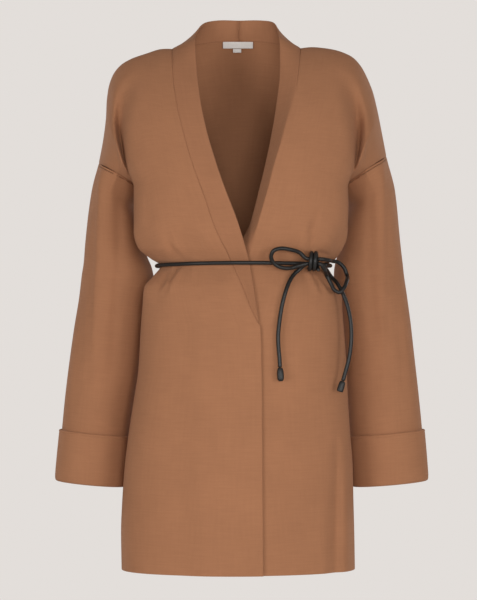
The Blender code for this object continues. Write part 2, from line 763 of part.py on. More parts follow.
def belt_points():
    """Centre line of the belt round the waist, from one side of the knot to the other."""
    level = np.asarray(BELT_LEVEL, float)
    t = np.linspace(math.radians(48.0), math.radians(386.0), 54)
    z = smooth_at(level[:, 0], level[:, 1], np.degrees(t) % 360.0)
    flat = torso(t, z)
    lap = lap_out(flat[:, 0], z, -1) * (flat[:, 1] < 0.0) * (1.0 - ease(flat[:, 0], 48.0, 85.0))
    out = CORD_RADIUS / MM + CORD_CLEAR / MM + 1.6 + lap
    ring = torso(t, z, out)
    return ring


def knot_middle():
    """Middle of the knot, far enough out to clear the cloth behind it."""
    x, z = np.meshgrid(np.linspace(110.0, 130.0, 9), np.linspace(-354.0, -338.0, 9))
    face = torso(front_angle(x, z), z)
    return np.array([119.7, face[..., 1].min() - KNOT_OUT + 1.0, -346.0])


def bow_points(table):
    """Through points of a piece of the bow, set out from the body.

    Close to the knot the depth is the knot's own; farther off it follows the
    body at the stated distance.
    """
    rows = np.asarray(table, float)
    x, z, out = rows.T
    middle = knot_middle()
    side = np.minimum(x, BOW_LIMIT)
    face = torso(front_angle(side, z), z)[:, 1]
    follow = face - CORD_RADIUS / MM - out
    near = 1.0 - ease(np.hypot(x - middle[0], z - middle[2]), 12.0, 34.0)
    own = middle[1] - 3.3 - out
    y = own * near + follow * (1.0 - near)
    return np.stack([x, y, z], axis=1)


def build_knot():
    """Knot: the cord wound twice round the crossing of the loops and the ends."""
    middle = knot_middle()
    turns = np.linspace(-0.35, 1.80, 36)
    angle = 2.0 * np.pi * turns
    x = middle[0] + 6.7 * (turns - 0.75)
    y = middle[1] - 10.6 * np.cos(angle)
    z = middle[2] + 13.0 * np.sin(angle)
    cord("belt_knot", np.stack([x, y, z], axis=1))


def build_tip(name, point, toward, long, round_end):
    """Leather end of the cord: a flattened sheath narrowing to the cord."""
    share = np.array([0.0, 0.08, 0.25, 0.5, 0.75, 0.92, 1.0])
    if round_end:
        width = np.array([0.66, 0.80, 0.93, 1.0, 0.98, 0.80, 0.48])
    else:
        width = np.array([0.66, 0.82, 0.94, 1.0, 1.0, 0.96, 0.84])
    turn = np.arange(12) * 2.0 * np.pi / 12
    side = unit(np.cross(toward, np.array([0.0, 1.0, 0.0])))
    front = unit(np.cross(side, toward))
    rings = []
    for s, w in zip(share, width):
        place = point + toward * (0.4 + s * long)
        wide = 0.5 * TIP_WIDE * w
        thick = 0.5 * TIP_THICK * (0.92 if s < 0.9 else 0.7)
        rings.append(place + side * wide * np.cos(turn)[:, None]
                     + front * thick * np.sin(turn)[:, None])
    capped_loft(name, np.stack(rings), LEATHER, 0.45)


def build_belt():
    """Cord belt, its knot, two loops and two ends with leather tips."""
    cord("belt_waist", belt_points())
    build_knot()
    cord("belt_loop_right", line_through(bow_points(LOOP_RIGHT), 25))
    cord("belt_loop_left", line_through(bow_points(LOOP_LEFT), 25))
    for name, table, long, round_end in (
        ("right", TAIL_RIGHT, TIP_LONG, True), ("left", TAIL_LEFT, TIP_LEFT_LONG, False),
    ):
        path = line_through(bow_points(table), 23)
        cord("belt_tail_" + name, path)
        build_tip("belt_tip_" + name, path[-1], unit(path[-1] - path[-2]), long, round_end)


def slab(name, left, right, top, low, depth_top, depth_low, thick, colour):
    """Thin rectangle hung from its top edge, in millimetres."""
    points = []
    for x in (left, right):
        for z, y in ((top, depth_top), (low, depth_low)):
            points.append((x, y, z))
            points.append((x, y - thick, z))
    faces = [(0, 1, 3, 2), (4, 6, 7, 5), (0, 4, 5, 1), (2, 3, 7, 6), (0, 2, 6, 4), (1, 5, 7, 3)]
    return add_mesh(name, np.asarray(points, float), faces, colour, 0.7, smooth=False)


def build_labels():
    """Neck label and the size tab below it, with no lettering."""
    slab("label", -23.0, 26.0, 13.6, 3.0, 68.6, 71.6, 0.8, LABEL_WHITE)
    slab("size_tab", -6.6, 6.8, 2.4, -3.6, 71.6, 73.2, 0.8, LABEL_WHITE)


def main():
    """Build every part in its collection."""
    for item in list(bpy.data.objects):
        bpy.data.objects.remove(item, do_unlink=True)
    collection = bpy.data.collections.new(NAME)
    bpy.context.scene.collection.children.link(collection)
    grids, normals = build_shell()
    for name in ("back", "front_right", "front_left"):
        wall(name, grids[name], normals[name], CLOTH, KNIT)
    for name in ("neckband_right", "neckband_left"):
        wall(name, grids[name], normals[name], BAND_CLOTH, KNIT_DARK)
    for side, word in ((-1, "right"), (1, "left")):
        wall("sleeve_" + word, grids["sleeve_" + word], normals["sleeve_" + word], CLOTH, KNIT,
             closed=True)
        build_cuff(side, word)
    build_belt()
    build_labels()


main()
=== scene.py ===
"""Dressed look of the tie-front cardigan: its cloth, cord belt, label and studio.

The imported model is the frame. Each cloth piece is worked out again from the named
sizes of the cut, on a fine grid, and takes the place of its plain solid.
Lengths in this file are millimetres, and MM turns them into metres.
"""

import logging
import math
from dataclasses import dataclass, field
from enum import Enum

import bpy
import numpy as np
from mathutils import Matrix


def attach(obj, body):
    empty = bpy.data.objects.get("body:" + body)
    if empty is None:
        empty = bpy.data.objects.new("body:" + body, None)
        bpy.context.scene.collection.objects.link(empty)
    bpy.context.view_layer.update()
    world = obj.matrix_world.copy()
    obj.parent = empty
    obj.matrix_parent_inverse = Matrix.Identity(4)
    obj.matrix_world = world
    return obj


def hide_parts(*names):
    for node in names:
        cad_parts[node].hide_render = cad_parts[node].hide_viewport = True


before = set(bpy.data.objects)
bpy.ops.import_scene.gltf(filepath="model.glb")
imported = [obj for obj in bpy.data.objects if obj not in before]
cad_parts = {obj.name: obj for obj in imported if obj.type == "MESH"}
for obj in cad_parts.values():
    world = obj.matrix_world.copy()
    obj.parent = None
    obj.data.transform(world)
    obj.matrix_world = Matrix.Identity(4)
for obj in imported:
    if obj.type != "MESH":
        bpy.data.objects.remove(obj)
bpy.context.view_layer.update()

Array = np.ndarray
MM = 0.001
log = logging.getLogger("cardigan")


class Side(Enum):
    """The two sides of the wearer, with the sign of their X."""

    RIGHT = -1
    LEFT = 1

    @property
    def word(self) -> str:
        """The side's name as it stands in the names of pieces."""
        return self.name.lower()


class Hold(Enum):
    """How a sheet of cloth is held."""

    HUNG = "hung"
    FOLDED = "folded"


# Heights that both the body and the bands are cut to
UNDERARM_Z = -226.0
WAIST_Z = -349.0
BAND_END_Z = -441.0
SIDE_SEAM_Y = 20.0

# Torso rings: height, right edge, left edge, front, back, depth of the widest place
TORSO = (
    (-836, -186, 185, -130, 128, -15),
    (-774, -187, 184, -129, 127, -15),
    (-728, -185, 183, -128, 126, -15),
    (-667, -180, 182, -126, 125, -16),
    (-621, -174, 179, -125, 124, -17),
    (-566, -165, 176, -123, 122, -18),
    (-514, -157, 174, -122, 120, -20),
    (-467, -154, 171, -120, 117, -22),
    (-406, -150, 165, -116, 109, -24),
    (-386, -147, 160, -112, 104, -25),
    (-368, -133, 150, -106, 97, -25),
    (-352, -122, 142, -101, 91, -25),
    (-341, -137, 156, -105, 94, -28),
    (-325, -155, 165, -113, 100, -38),
    (-294, -163, 174, -121, 108, -48),
    (-260, -163, 176, -123, 111, -54),
    (-226, -163, 175, -124, 112, -55),
)

# Heights of the main rows of the torso, hem first
LOWER_ROWS = (
    -834, -826, -790, -745, -700, -655, -610, -567, -527, -492, -464,
    -441, -420, -402, -388, -375, -362, -354, -348, -340, -328, -314, -297,
    -277, -258, -243, -233, -226,
)

# Distances of the main rows of a sleeve down from its seam
SLEEVE_ROWS = (
    0, 7, 18, 34, 54, 80, 108, 134, 158, 184, 214, 252, 296, 344, 394, 430, 462, 493,
)

# Turned-up cuff in section: out from the sleeve, down from the top of the cuff
CUFF_SECTION = (
    (0.7, 0.9), (0.9, 0.0), (1.6, -0.6), (2.8, -0.8), (3.9, -0.3), (4.5, 0.9), (4.5, 2.1),
    (4.1, 3.1), (3.9, 3.6), (4.1, 4.3), (4.2, 6.0), (4.2, 14.0), (4.3, 40.0), (4.2, 62.0),
    (4.0, 72.0), (3.5, 77.0), (2.9, 79.3), (1.9, 80.7), (0.6, 81.4), (-0.8, 81.3),
    (-1.9, 80.8), (-2.4, 80.2), (-2.3, 79.6), (-1.2, 79.5), (0.1, 79.3), (0.6, 78.0),
    (0.7, 70.0), (0.7, 40.0), (0.7, 12.0),
)


@dataclass(frozen=True)
class SideCut:
    """Tables of one side of the cut, in millimetres.

    ridge: shoulder top and outer line of the arm, as across, depth, height.
    band: seam height, seam across, edge across, edge height, edge behind the seam.
    collar: seam across, depth, height, then the free edge the same.
    edge: height and place across of the front edge below the band.
    sleeve: height, outer edge, inner edge, middle depth, half depth, turn, rise.
    """

    ridge: tuple
    band: tuple
    collar: tuple
    edge: tuple
    sleeve: tuple


CUTS = {
    Side.RIGHT: SideCut(
        ridge=(
            (-104, 2, -4), (-121, 5, -4), (-146, 9, -11), (-172, 13, -20),
            (-186, 17, -28), (-197, 20, -40), (-205, 22, -58), (-209, 24, -80),
            (-211, 26, -115), (-216, 29, -152), (-223, 32, -187),
        ),
        band=(
            (-4, -104, -67.5, 14, -2),
            (-53, -101, -64, -36, 12),
            (-101, -94, -58.5, -85, 8),
            (-147, -83, -48, -138, 3),
            (-192, -70, -33, -190, 1),
            (-226, -58, -21, -226, 0),
            (-285, -35, 1, -284, 0),
            (-339, -11, 17, -338, 0),
            (-385, 8.5, 26, -383, 0),
            (-419, 21, 31, -417, 0),
            (-441, 31, 34.5, -440, 0),
        ),
        collar=(
            (3, 75, 15, 3, 79, 49),
            (-35, 70, 13, -31, 74, 49),
            (-70, 51, 7, -52, 56, 44),
            (-93, 26, 1, -63, 28, 30),
            (-104, 2, -4, -67.5, 0, 14),
        ),
        edge=((-836, 39), (-700, 38), (-560, 37.5), (-480, 36.5), (-441, 35)),
        sleeve=(
            (-206, -224, -167, 30, 60, 0, 17),
            (-232, -231, -167, 34, 58, 5, 15),
            (-262, -237, -158, 40, 56, 9, 12),
            (-294, -242, -152, 46, 54, 12, 9),
            (-325, -246, -147, 50, 52, 12, 7),
            (-352, -249, -137, 52, 50, 12, 5),
            (-370, -252, -134, 51, 49, 12, 5),
            (-406, -256, -143, 48, 48, 12, 5),
            (-456, -264, -148, 46, 47, 10, 5),
            (-515, -272, -157, 44, 46, 8, 5),
            (-567, -278, -166.5, 42, 46, 6, 5),
            (-620, -283, -174, 40, 46, 5, 5),
            (-704, -291, -181, 38, 46, 4, 5),
        ),
    ),
    Side.LEFT: SideCut(
        ridge=(
            (102, 2, -3), (118, 5, -1), (138, 8, -2), (168, 12, -8),
            (187, 16, -17), (199, 19, -30), (209, 22, -48), (218, 24, -70),
            (225, 27, -97), (233, 30, -136), (241, 32, -176),
        ),
        band=(
            (-3, 102, 67.5, 17, -2),
            (-30, 99, 68, -10, 14),
            (-60, 95, 67.5, -45, 23),
            (-91, 88, 63.5, -84, 28),
            (-128, 77, 57, -128, 31),
            (-165, 67, 49, -170, 32),
            (-201, 56, 41, -206, 32),
            (-226, 50, 35, -230, 31),
            (-285, 33, 20, -286, 26),
            (-330, 20, -2, -328, 12),
            (-355, 8, -16, -356, 2),
            (-385, -3, -20, -384, 0),
            (-419, -15, -25, -418, 0),
            (-441, -25, -28.5, -440, 0),
        ),
        collar=(
            (3, 75, 15, 3, 79, 49),
            (41, 70, 13, 37, 74, 49),
            (75, 51, 7, 58, 56, 45),
            (95, 26, 1, 65, 29, 32),
            (102, 2, -3, 67.5, 0, 17),
        ),
        edge=((-836, -31), (-560, -31), (-441, -29)),
        sleeve=(
            (-206, 246, 182, 30, 60, 0, 20),
            (-232, 252, 182, 34, 58, 5, 16),
            (-262, 257, 174, 40, 56, 9, 12),
            (-294, 261, 168, 46, 53, 12, 9),
            (-325, 265, 163, 50, 50, 12, 7),
            (-352, 269, 157, 52, 48, 12, 5),
            (-370, 271, 156, 51, 47, 12, 5),
            (-406, 276, 164, 48, 46, 12, 5),
            (-453, 282, 170, 46, 45, 10, 5),
            (-500, 287, 173, 44, 44, 8, 5),
            (-555, 293, 177, 42, 43, 6, 5),
            (-617, 299, 182, 40, 43, 5, 5),
            (-702, 306, 188, 38, 43, 4, 5),
        ),
    ),
}


def smooth_at(xs: Array, ys: Array, x: Array) -> Array:
    """Read a smooth curve through points, with no overshoot.

    Each stretch is a cubic whose slope at a point is the harmonic mean of its
    neighbours' slopes, or nought where they differ in sign.

    Args:
        xs: Places of the points, rising or falling.
        ys: Values at the points.
        x: Places to read.

    Returns:
        The values at x.
    """
    xs = np.asarray(xs, float)
    ys = np.asarray(ys, float)
    if xs[0] > xs[-1]:
        xs, ys = xs[::-1], ys[::-1]
    step = np.diff(xs)
    slope = np.diff(ys) / step
    lean = np.zeros_like(ys)
    lean[0], lean[-1] = slope[0], slope[-1]
    product = slope[:-1] * slope[1:]
    total = slope[:-1] + slope[1:]
    safe = np.where(np.abs(total) < 1e-12, 1.0, total)
    lean[1:-1] = np.where(product > 0.0, 2.0 * product / safe, 0.0)
    return hermite(xs, ys, lean, np.clip(np.asarray(x, float), xs[0], xs[-1]))


def hermite(xs: Array, ys: Array, lean: Array, x: Array) -> Array:
    """Read a cubic through points with known slopes.

    Args:
        xs: Rising places of the points.
        ys: Values at the points.
        lean: Slopes at the points.
        x: Places to read.

    Returns:
        The values at x.
    """
    place = np.clip(np.searchsorted(xs, x, side="right") - 1, 0, len(xs) - 2)
    h = xs[place + 1] - xs[place]
    f = (x - xs[place]) / h
    return (
        (2.0 * f**3 - 3.0 * f**2 + 1.0) * ys[place]
        + (f**3 - 2.0 * f**2 + f) * h * lean[place]
        + (3.0 * f**2 - 2.0 * f**3) * ys[place + 1]
        + (f**3 - f**2) * h * lean[place + 1]
    )


def column(table: tuple, index: int, x: Array) -> Array:
    """Read one column of a table at x of its first column.

    Args:
        table: Rows of numbers.
        index: Number of the column.
        x: Places in the first column.

    Returns:
        The values of the column at x.
    """
    rows = np.asarray(table, float)
    return smooth_at(rows[:, 0], rows[:, index], x)


def ease(x: Array, low: float, high: float) -> Array:
    """Step softly from 0 at low to 1 at high, by 3f² - 2f³.

    Args:
        x: Places to read.
        low: Where the step starts.
        high: Where it ends.

    Returns:
        The values of the step.
    """
    f = np.clip((np.asarray(x, float) - low) / (high - low), 0.0, 1.0)
    return f * f * (3.0 - 2.0 * f)


def bump(x: Array, middle: float, width: float) -> Array:
    """Soft hump, 1 at the middle, falling as a bell of the given width.

    Args:
        x: Places to read.
        middle: Place of the top.
        width: Distance at which it has fallen to 0.37.

    Returns:
        The values of the hump.
    """
    return np.exp(-(((np.asarray(x, float) - middle) / width) ** 2))


def unit(vectors: Array) -> Array:
    """Directions of vectors, each one long, whatever the vectors' lengths were."""
    size = np.linalg.norm(vectors, axis=-1, keepdims=True)
    return vectors / np.maximum(size, 1e-9)


def line_through(points: tuple, shares: Array) -> Array:
    """Points at shares of the length of a smooth line through given points.

    Args:
        points: Through points, three numbers each.
        shares: Shares of the length, 0 to 1.

    Returns:
        One point for each share.
    """
    points = np.asarray(points, float)
    chord = np.concatenate(([0.0], np.cumsum(np.linalg.norm(np.diff(points, axis=0), axis=1))))
    fine = np.linspace(0.0, chord[-1], 40 * len(points))
    lean = np.gradient(points, chord, axis=0)
    dense = np.stack([hermite(chord, points[:, k], lean[:, k], fine) for k in range(3)], axis=1)
    run = np.concatenate(([0.0], np.cumsum(np.linalg.norm(np.diff(dense, axis=0), axis=1))))
    at = np.asarray(shares) * run[-1]
    return np.stack([np.interp(at, run, dense[:, k]) for k in range(3)], axis=1)


def refine(values: tuple, parts: int) -> Array:
    """Split each step of a run of numbers into equal parts."""
    values = np.asarray(values, float)
    return np.interp(np.arange(parts * (len(values) - 1) + 1) / parts, np.arange(len(values)), values)


def run_along(grid: Array, axis: int) -> Array:
    """Length run along one axis of a grid of points, from its first row or column."""
    step = np.linalg.norm(np.diff(grid, axis=axis), axis=-1)
    return np.concatenate([np.zeros_like(np.take(step, [0], axis=axis)), np.cumsum(step, axis=axis)],
                          axis=axis)


def grid_normals(grid: Array, closed: bool = False) -> Array:
    """Directions straight out of a grid, as the cross product of its two slopes.

    Args:
        grid: Rows and columns of points.
        closed: Whether the last column meets the first.

    Returns:
        One direction for each point, before its sign is settled.
    """
    if closed:
        along = np.roll(grid, -1, axis=1) - np.roll(grid, 1, axis=1)
    else:
        along = np.gradient(grid, axis=1)
    return unit(np.cross(along, np.gradient(grid, axis=0)))


def average(*edges: Array) -> None:
    """Give edges that meet the same directions, written into each of them."""
    mean = unit(sum(np.array(edge) for edge in edges))
    for edge in edges:
        edge[...] = mean


def edge_away(edge: Array, inside: Array) -> Array:
    """Directions straight away from an edge, towards a row inside it.

    Args:
        edge: Points of the edge.
        inside: Points of a row within the cloth.

    Returns:
        One direction for each point of the edge.
    """
    way = unit(np.gradient(edge, axis=0))
    step = inside - edge
    return unit(step - way * np.sum(step * way, axis=-1, keepdims=True))


@dataclass(frozen=True)
class Crease:
    """One crease: a soft ridge, or a trough where rise is negative.

    line: places of the crease as seen from the front or back, across and height.
    rise: how far it stands out of the cloth.
    reach: half its width.
    lean: from -1 to 1, how much wider the flank towards the wearer's left is.
    """

    line: tuple
    rise: float
    reach: float
    lean: float = 0.0

    def field(self, across: Array, height: Array) -> Array:
        """Work out the crease's rise over a grid.

        The rise is a bell of the distance to the line, and fades to its ends.

        Args:
            across: Places across of the grid's points.
            height: Heights of the grid's points.

        Returns:
            The rise at each point.
        """
        spots = np.asarray(self.line, float)
        share = np.linspace(0.0, 1.0, 48)
        at = share * (len(spots) - 1)
        x = np.interp(at, np.arange(len(spots)), spots[:, 0])
        z = np.interp(at, np.arange(len(spots)), spots[:, 1])
        apart = (across[..., None] - x) ** 2 + (height[..., None] - z) ** 2
        nearest = np.argmin(apart, axis=-1)
        fade = (4.0 * share * (1.0 - share)) ** 0.6
        flank = np.where(across > x[nearest], 1.0 + self.lean, 1.0 - self.lean)
        return self.rise * fade[nearest] * np.exp(-apart.min(axis=-1) / (self.reach * flank) ** 2)


# Creases seen in the front panels: gathers at the belt, pulls at the bow, a fold near the hem
FRONT_CREASES = {
    Side.RIGHT: (
        Crease(((-106, -318), (-84, -346)), -3.2, 3.0),
        Crease(((-114, -298), (-105, -326), (-97, -346)), -2.4, 3.0, 0.3),
        Crease(((-148, -331), (-126, -347)), -3.0, 3.2),
        Crease(((-99, -312), (-89, -344)), 2.0, 3.2),
        Crease(((-84, -353), (-99, -377), (-108, -400)), 3.0, 3.2, 0.3),
        Crease(((-93, -354), (-107, -380)), -4.2, 2.4),
        Crease(((-89, -356), (-104, -374), (-122, -396)), 2.2, 2.8),
        Crease(((-110, -362), (-122, -392)), -2.6, 3.0),
        Crease(((-60, -352), (-64, -384)), -1.3, 4.5),
        Crease(((-28, -352), (-24, -376)), -1.0, 4.0),
        Crease(((-56, -316), (-58, -347)), -1.2, 4.5),
        Crease(((-140, -240), (-138, -290), (-132, -325)), -1.6, 9.0),
    ),
    Side.LEFT: (
        Crease(((125, -262), (119, -290), (116, -304), (113, -334)), -3.8, 3.2, 0.45),
        Crease(((108, -280), (108, -305), (109, -334)), 2.2, 5.0, -0.3),
        Crease(((124, -330), (152, -341)), -4.2, 3.8),
        Crease(((137, -306), (158, -330)), 2.2, 5.0),
        Crease(((100, -356), (107, -375)), -3.4, 2.4),
        Crease(((108, -356), (119, -378), (129, -400)), 3.2, 3.4),
        Crease(((116, -360), (128, -382), (136, -398)), -2.4, 2.6),
        Crease(((124, -362), (137, -377), (152, -394)), -3.0, 3.6),
        Crease(((88, -354), (84, -382)), -1.5, 4.5),
        Crease(((60, -354), (58, -380)), -1.0, 5.0),
        Crease(((155, -610), (155.5, -700), (154.5, -780), (154, -850)), -3.6, 4.5, 0.4),
        Crease(((168, -630), (169, -730), (169, -850)), 2.4, 8.0),
    ),
}

# Creases of the hidden back, of the same kind as those of the front
BACK_CREASES = (
    Crease(((-96, -312), (-86, -344)), -1.5, 3.8),
    Crease(((-60, -306), (-56, -345)), -1.1, 4.2),
    Crease(((-22, -316), (-24, -346)), 1.1, 4.0),
    Crease(((34, -308), (30, -346)), -1.3, 4.0),
    Crease(((78, -312), (70, -346)), -1.5, 3.8),
    Crease(((112, -322), (100, -346)), 1.2, 4.4),
    Crease(((-104, -398), (-90, -360)), -1.6, 3.8),
    Crease(((-64, -404), (-56, -360)), 1.3, 4.2),
    Crease(((-8, -392), (-8, -360)), -1.1, 4.2),
    Crease(((48, -402), (42, -360)), -1.4, 4.0),
    Crease(((98, -398), (84, -360)), 1.4, 4.2),
    Crease(((-120, -836), (-116, -740), (-108, -650)), 1.6, 9.0),
    Crease(((88, -836), (84, -730), (80, -640)), -1.6, 8.0),
)

# Long folds of the sleeves: the lit ridge down each, and shallower ones behind
SLEEVE_CREASES = {
    Side.RIGHT: (
        Crease(((-211, -120), (-214, -190), (-217, -232), (-220, -294), (-224, -355),
                (-226, -406), (-229, -467), (-233, -560)), 5.0, 12.0, 0.5),
        Crease(((-190, -200), (-190, -260), (-190, -330), (-194, -400), (-199, -470),
                (-203, -540)), -3.0, 9.0, 0.2),
        Crease(((-244, -330), (-250, -430), (-256, -520), (-262, -600)), -1.6, 8.0),
    ),
    Side.LEFT: (
        Crease(((231, -150), (231.4, -190), (231.4, -262), (233, -324), (234.4, -406),
                (237.4, -520)), 3.6, 10.0, -0.4),
        Crease(((214, -200), (213, -262), (213, -330), (216, -410), (220, -480)), -2.6, 8.0),
        Crease(((254, -330), (260, -430), (266, -520), (272, -600)), -1.6, 8.0),
    ),
}


@dataclass(frozen=True)
class Body:
    """The filled-out body of the cardigan as rounded rings, one for each height."""

    front_power: float = 2.35
    back_power: float = 2.0
    lap: float = 5.5

    def folds(self, t: Array, z: Array) -> Array:
        """Soft folds: gathers above and below the belt, waves down to the hem.

        Each is a sum of sines of the angle, faded in by the height.

        Args:
            t: Angles round the body.
            z: Heights.

        Returns:
            How far the cloth stands out.
        """
        above = bump(z, WAIST_Z + 34.0, 20.0)
        below = bump(z, WAIST_Z - 40.0, 28.0)
        gathers = above * np.sin(11.0 * t + 0.6) + below * np.sin(11.0 * t + 2.0)
        gathers = gathers + 0.5 * (above + below) * np.sin(7.0 * t + 1.0)
        skirt = ease(z, -430.0, -800.0)
        waves = 2.6 * np.sin(3.0 * t + 2.2) + 1.6 * np.sin(5.0 * t + 0.4)
        left_fold = -5.0 * bump(t, 0.62, 0.10) * ease(z, -600.0, -800.0)
        return 2.2 * gathers + skirt * waves + left_fold

    def side_angle(self, z: Array, side: Side) -> Array:
        """Angle of the side seam, which lies at a set depth behind the widest place."""
        widest = column(TORSO, 5, z)
        back = column(TORSO, 4, z)
        behind = np.arcsin((SIDE_SEAM_Y - widest) / (back - widest))
        return np.where(side is Side.LEFT, -behind, math.pi + behind)

    def point(self, t: Array, z: Array, out: Array = 0.0) -> Array:
        """Point of the body at an angle and a height.

        The angle runs from the wearer's left over the front. A ring is where the
        powers of the shares across and deep add up to one, moved out by the folds.

        Args:
            t: Angles.
            z: Heights.
            out: Extra distance out of the body.

        Returns:
            Points across, deep and high.
        """
        t, z, out = np.broadcast_arrays(np.asarray(t, float), np.asarray(z, float), out)
        right, left, front, back, widest = (column(TORSO, k, z) for k in range(1, 6))
        middle = 0.5 * (right + left)
        half = 0.5 * (left - right)
        sine = np.sin(t)
        forward = sine >= 0.0
        deep = np.where(forward, widest - front, back - widest)
        power = np.where(forward, self.front_power, self.back_power)
        way = unit(np.stack([half * np.cos(t), deep * sine], axis=-1))
        reach = (np.abs(way[..., 0]) / half) ** power + (np.abs(way[..., 1]) / deep) ** power
        reach = reach ** (-1.0 / power)
        for side in Side:
            apart = np.abs(np.angle(np.exp(1j * (t - self.side_angle(z, side)))))
            flare = 10.0 * np.exp(-np.clip(UNDERARM_Z - z, 0.0, None) / 6.0)
            reach = reach + flare * bump(apart, 0.0, 0.09)
        reach = reach + self.folds(t, z) + out
        return np.stack([middle + reach * way[..., 0], widest - reach * way[..., 1], z], axis=-1)

    def front_angle(self, x: Array, z: Array) -> Array:
        """Angle of the front of the body at a place across and a height."""
        right, left = column(TORSO, 1, z), column(TORSO, 2, z)
        share = np.clip((x - 0.5 * (right + left)) / (0.5 * (left - right)), -0.999, 0.999)
        rise = (1.0 - np.abs(share) ** self.front_power) ** (1.0 / self.front_power)
        return np.arctan2(rise, share)

    def lap_out(self, x: Array, z: Array, side: Side) -> Array:
        """How far the right front stands out over the left one."""
        if side is Side.LEFT:
            return np.zeros(np.broadcast(x, z).shape)
        return self.lap * ease(x, -95.0, -45.0) * ease(z, -240.0, -300.0)


@dataclass
class Sheet:
    """One sheet of cloth as two grids of points with its rim and its map."""

    name: str
    grid: Array
    normals: Array
    thick: float
    closed: bool = False
    soft_edges: dict = field(default_factory=dict)

    def pull_back(self, sides: tuple, gap: float) -> None:
        """Draw the named edges back into the sheet by a gap.

        Args:
            sides: Names of edges: low, high, first, last.
            gap: How far.
        """
        grid = self.grid
        edges = {
            "low": (grid[0], grid[1]), "high": (grid[-1], grid[-2]),
            "first": (grid[:, 0], grid[:, 1]), "last": (grid[:, -1], grid[:, -2]),
        }
        for name in sides:
            edge, inside = edges[name]
            edge += edge_away(edge, inside) * gap

    def edge_runs(self) -> dict:
        """Distance of every point from each edge, measured along the cloth.

        Returns:
            One grid of distances for each edge's name.
        """
        up = run_along(self.grid, 0)
        runs = {"low": up, "high": up[-1:] - up}
        if not self.closed:
            over = run_along(self.grid, 1)
            runs["first"] = over
            runs["last"] = over[:, -1:] - over
        return runs

    def faces_of_cloth(self) -> tuple[Array, Array]:
        """Outer and inner faces of the cloth.

        Close to an edge both faces draw together as a half round, and a sewn edge
        also sinks softly, so that two sheets meet in a seam.

        Returns:
            The two grids of points.
        """
        round_off = 0.46 * self.thick
        narrow = np.zeros(self.grid.shape[:2])
        sink = np.zeros_like(narrow)
        for name, run in self.edge_runs().items():
            near = np.clip(round_off - run, 0.0, round_off)
            narrow = np.maximum(narrow, round_off - np.sqrt(round_off**2 - near**2))
            sink = np.maximum(sink, self.soft_edges.get(name, 0.0) * bump(run, 0.0, 2.4))
        outer = self.grid - self.normals * (narrow + sink)[..., None]
        inner = self.grid - self.normals * (self.thick - narrow + 0.35 * sink)[..., None]
        return outer, inner

    def uv(self) -> Array:
        """Map of the cloth in metres: courses run across, wales run up."""
        if self.closed:
            ring = np.concatenate([self.grid, self.grid[:, :1]], axis=1)
            over = run_along(ring, 1).mean(axis=0)
            up = np.broadcast_to(run_along(ring, 0).mean(axis=1)[:, None], ring.shape[:2])
        else:
            over = run_along(self.grid, 1).mean(axis=0)
            up = run_along(self.grid, 0)
        return np.stack([np.broadcast_to(over, up.shape), up], axis=-1) * MM

    def build(self, material: bpy.types.Material) -> bpy.types.Object:
        """Make the closed wall of the sheet.

        Args:
            material: Its finish.

        Returns:
            The finished object.
        """
        outer, inner = self.faces_of_cloth()
        rows, columns = self.grid.shape[:2]
        index = np.arange(rows * columns).reshape(rows, columns)
        if self.closed:
            index = np.concatenate([index, index[:, :1]], axis=1)
        under = index + rows * columns
        uv = self.uv()
        quads = [patch(index), patch(under)[:, ::-1]]
        maps = [patch(uv), patch(uv)[:, ::-1]]
        strips = [(index[0][::-1], under[0][::-1], uv[0][::-1]), (index[-1], under[-1], uv[-1])]
        if not self.closed:
            strips += [(index[:, 0], under[:, 0], uv[:, 0]),
                       (index[::-1, -1], under[::-1, -1], uv[::-1, -1])]
        for top, low, spot in strips:
            quads.append(patch(np.stack([top, low])))
            maps.append(patch(np.stack([spot, spot])))
        points = np.concatenate([outer.reshape(-1, 3), inner.reshape(-1, 3)])
        inside = np.concatenate([np.zeros(rows * columns), np.ones(rows * columns)])
        return make_mesh(self.name, points, np.concatenate(quads), np.concatenate(maps), material,
                         inside)


def patch(grid: Array) -> Array:
    """The four corners of every cell of a grid, as cells by four by whatever it holds."""
    cells = np.stack([grid[:-1, :-1], grid[:-1, 1:], grid[1:, 1:], grid[1:, :-1]], axis=2)
    return cells.reshape(-1, 4, *grid.shape[2:])


